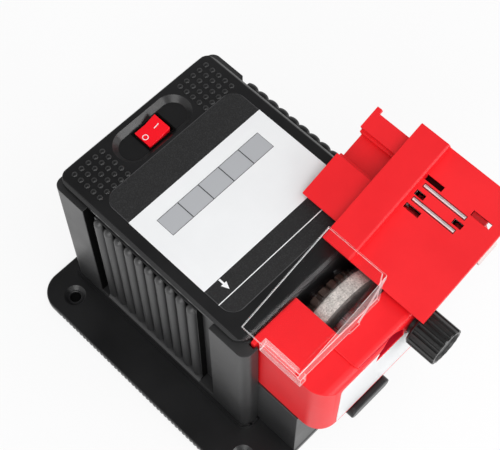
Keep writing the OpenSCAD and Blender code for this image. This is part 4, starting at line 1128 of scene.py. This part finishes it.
class SHARPENER_OT_stage(Build):
    """Pale floor, soft studio light and the camera"""

    bl_idname = "sharpener.stage"
    bl_label = "Stage"

    def build(self):
        self.floor()
        self.world()
        self.lamps()
        self.camera()
        bpy.context.scene.view_settings.view_transform = "Standard"

    def lamps(self):
        """Four round area lamps, each with its place, aim, size and power."""
        values = bpy.context.scene.sharpener_stage
        for name, place, aim, size, power in (
                ("Key light", (-1.3, -0.7, 0.95), (0, 0, 0.06), 1.3, values.key),
                ("Top light", (-0.25, -0.75, 1.7), (0, 0, 0.1), 1.3, values.top),
                ("Fill light", (1.2, -0.7, 0.9), (0, 0, 0.08), 1.2, values.fill),
                ("Front light", (0.35, -1.25, 0.5), (0, 0, 0.1), 0.8, values.front)):
            rest()
            bpy.ops.object.light_add(type="AREA", location=place)
            lamp = bpy.context.object
            lamp.name = name
            lamp.data.shape = "DISK"
            lamp.data.size = size
            lamp.data.energy = power
            lamp.rotation_euler = (Vector(aim) - Vector(place)).to_track_quat("-Z", "Y").to_euler()

    def camera(self):
        """Camera placed by a fit to the straight edges of the photo."""
        place = (-0.2334, -0.2351, 0.7478)
        tilt, turn = math.radians(27.148), math.radians(-45.529)
        rest()
        bpy.ops.object.camera_add(location=place, rotation=(tilt, 0, turn))
        camera = bpy.context.object
        camera.name = "Photo camera"
        camera.data.sensor_fit = "HORIZONTAL"
        camera.data.sensor_width = 36
        camera.data.lens = bpy.context.scene.sharpener_stage.lens
        camera.data.clip_start = 0.01
        bpy.context.scene.camera = camera

    def floor(self):
        """Pale floor that stays near white to the camera, keeps a soft shadow and has painted shade beneath
        the base.
        """
        seen_white = 0.85
        # The third colour is painted shade for the floor beneath the base.
        pale, thrown_back, dark = (0.86, 0.86, 0.87), (0.42, 0.42, 0.425), (0.004, 0.004, 0.004)
        corner, covered = 20 * MM, 17 * MM
        rest()
        bpy.ops.mesh.primitive_circle_add(vertices=96, radius=6, fill_type="NGON",
                                          location=(0, 0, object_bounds()[0][2] - 0.02 * MM))
        bpy.ops.object.transform_apply(location=True)
        floor = bpy.context.object
        floor.name = "Floor"
        finish, tree, shader = new_material("Pale floor")
        shader.inputs["Roughness"].default_value = 0.7
        shader.inputs["Specular IOR Level"].default_value = 0.1
        glow = put(tree, "ShaderNodeEmission", Color=(1, 1, 1, 1), Strength=1.0)
        path = tree.nodes.new("ShaderNodeLightPath")
        looked_at = maths(tree, "MAXIMUM", path.outputs["Is Camera Ray"], path.outputs["Is Transmission Ray"])
        seen = maths(tree, "MAXIMUM", path.outputs["Is Glossy Ray"],
                     maths(tree, "MULTIPLY", looked_at, seen_white))
        _, x, y, _ = object_place(tree)
        # Painted shade: the floor beneath the base is near black and does not glow.
        shaded_under_base = maths(tree, "LESS_THAN", reach_past(tree, x, y, "base_plate", corner), covered)
        mix = tree.nodes.new("ShaderNodeMixShader")
        join(tree, maths(tree, "MULTIPLY", seen, maths(tree, "SUBTRACT", 1.0, shaded_under_base)), mix.inputs[0])
        tone = blend(tree, path.outputs["Is Diffuse Ray"], pale, thrown_back)
        join(tree, blend(tree, shaded_under_base, tone, dark), shader.inputs["Base Color"])
        join(tree, shader.outputs[0], mix.inputs[1])
        join(tree, glow.outputs[0], mix.inputs[2])
        join(tree, mix.outputs[0], tree.nodes["Material Output"].inputs["Surface"])
        floor.data.materials.append(finish)
        floor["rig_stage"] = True

    def world(self):
        """Soft white surroundings, white where the camera or glass sees them and dimmer overhead in gloss."""
        even, overhead = 0.5, 0.1
        world = bpy.data.worlds.new("Soft studio")
        bpy.context.scene.world = world
        world.use_nodes = True
        tree = world.node_tree
        ground = tree.nodes["Background"]
        ground.inputs["Color"].default_value = (1, 1, 1, 1)
        axes = put(tree, "ShaderNodeSeparateXYZ")
        join(tree, put(tree, "ShaderNodeTexCoord").outputs["Generated"], axes.inputs[0])
        gloss = spread(tree, axes.outputs[2], 0.3, 0.85, 1.0, overhead)
        path = tree.nodes.new("ShaderNodeLightPath")
        seen = maths(tree, "MAXIMUM", path.outputs["Is Camera Ray"], path.outputs["Is Transmission Ray"])
        soft = maths(tree, "ADD", maths(tree, "MULTIPLY", path.outputs["Is Glossy Ray"],
                                        maths(tree, "SUBTRACT", gloss, even)), even)
        strength = maths(tree, "ADD", maths(tree, "MULTIPLY", seen, maths(tree, "SUBTRACT", 1.0, soft)), soft)
        join(tree, strength, ground.inputs["Strength"])


STEPS = (
    SHARPENER_OT_stage, SHARPENER_OT_housing, SHARPENER_OT_grip_bumps, SHARPENER_OT_side_ribs,
    SHARPENER_OT_cover_sticker, SHARPENER_OT_switch, SHARPENER_OT_motor, SHARPENER_OT_wheel,
    SHARPENER_OT_module, SHARPENER_OT_release_catch, SHARPENER_OT_clear_shield,
    SHARPENER_OT_guide_channel, SHARPENER_OT_tool_table, SHARPENER_OT_knob,
)


class SHARPENER_PT_panel(bpy.types.Panel):
    """Lists the building steps and their values"""

    bl_idname = "SHARPENER_PT_panel"
    bl_label = "Bench Sharpener"
    bl_space_type = "VIEW_3D"
    bl_region_type = "UI"
    bl_category = "Sharpener"

    def draw(self, context):
        for step in STEPS:
            self.layout.operator(step.bl_idname)
        for group in (context.scene.sharpener_colours, context.scene.sharpener_sizes,
                      context.scene.sharpener_stage):
            box = self.layout.box()
            for name in group.__annotations__:
                box.prop(group, name)


GROUPS = (SharpenerColours, SharpenerSizes, SharpenerStage)


def register():
    for item in (*GROUPS, *STEPS, SHARPENER_PT_panel):
        bpy.utils.register_class(item)
    bpy.types.Scene.sharpener_colours = bpy.props.PointerProperty(type=SharpenerColours)
    bpy.types.Scene.sharpener_sizes = bpy.props.PointerProperty(type=SharpenerSizes)
    bpy.types.Scene.sharpener_stage = bpy.props.PointerProperty(type=SharpenerStage)


def unregister():
    for name in ("sharpener_colours", "sharpener_sizes", "sharpener_stage"):
        delattr(bpy.types.Scene, name)
    for item in reversed((*GROUPS, *STEPS, SHARPENER_PT_panel)):
        bpy.utils.unregister_class(item)


def main():
    register()
    for step in STEPS:
        area, name = step.bl_idname.split(".")
        getattr(getattr(bpy.ops, area), name)()


if __name__ == "__main__":
    main()
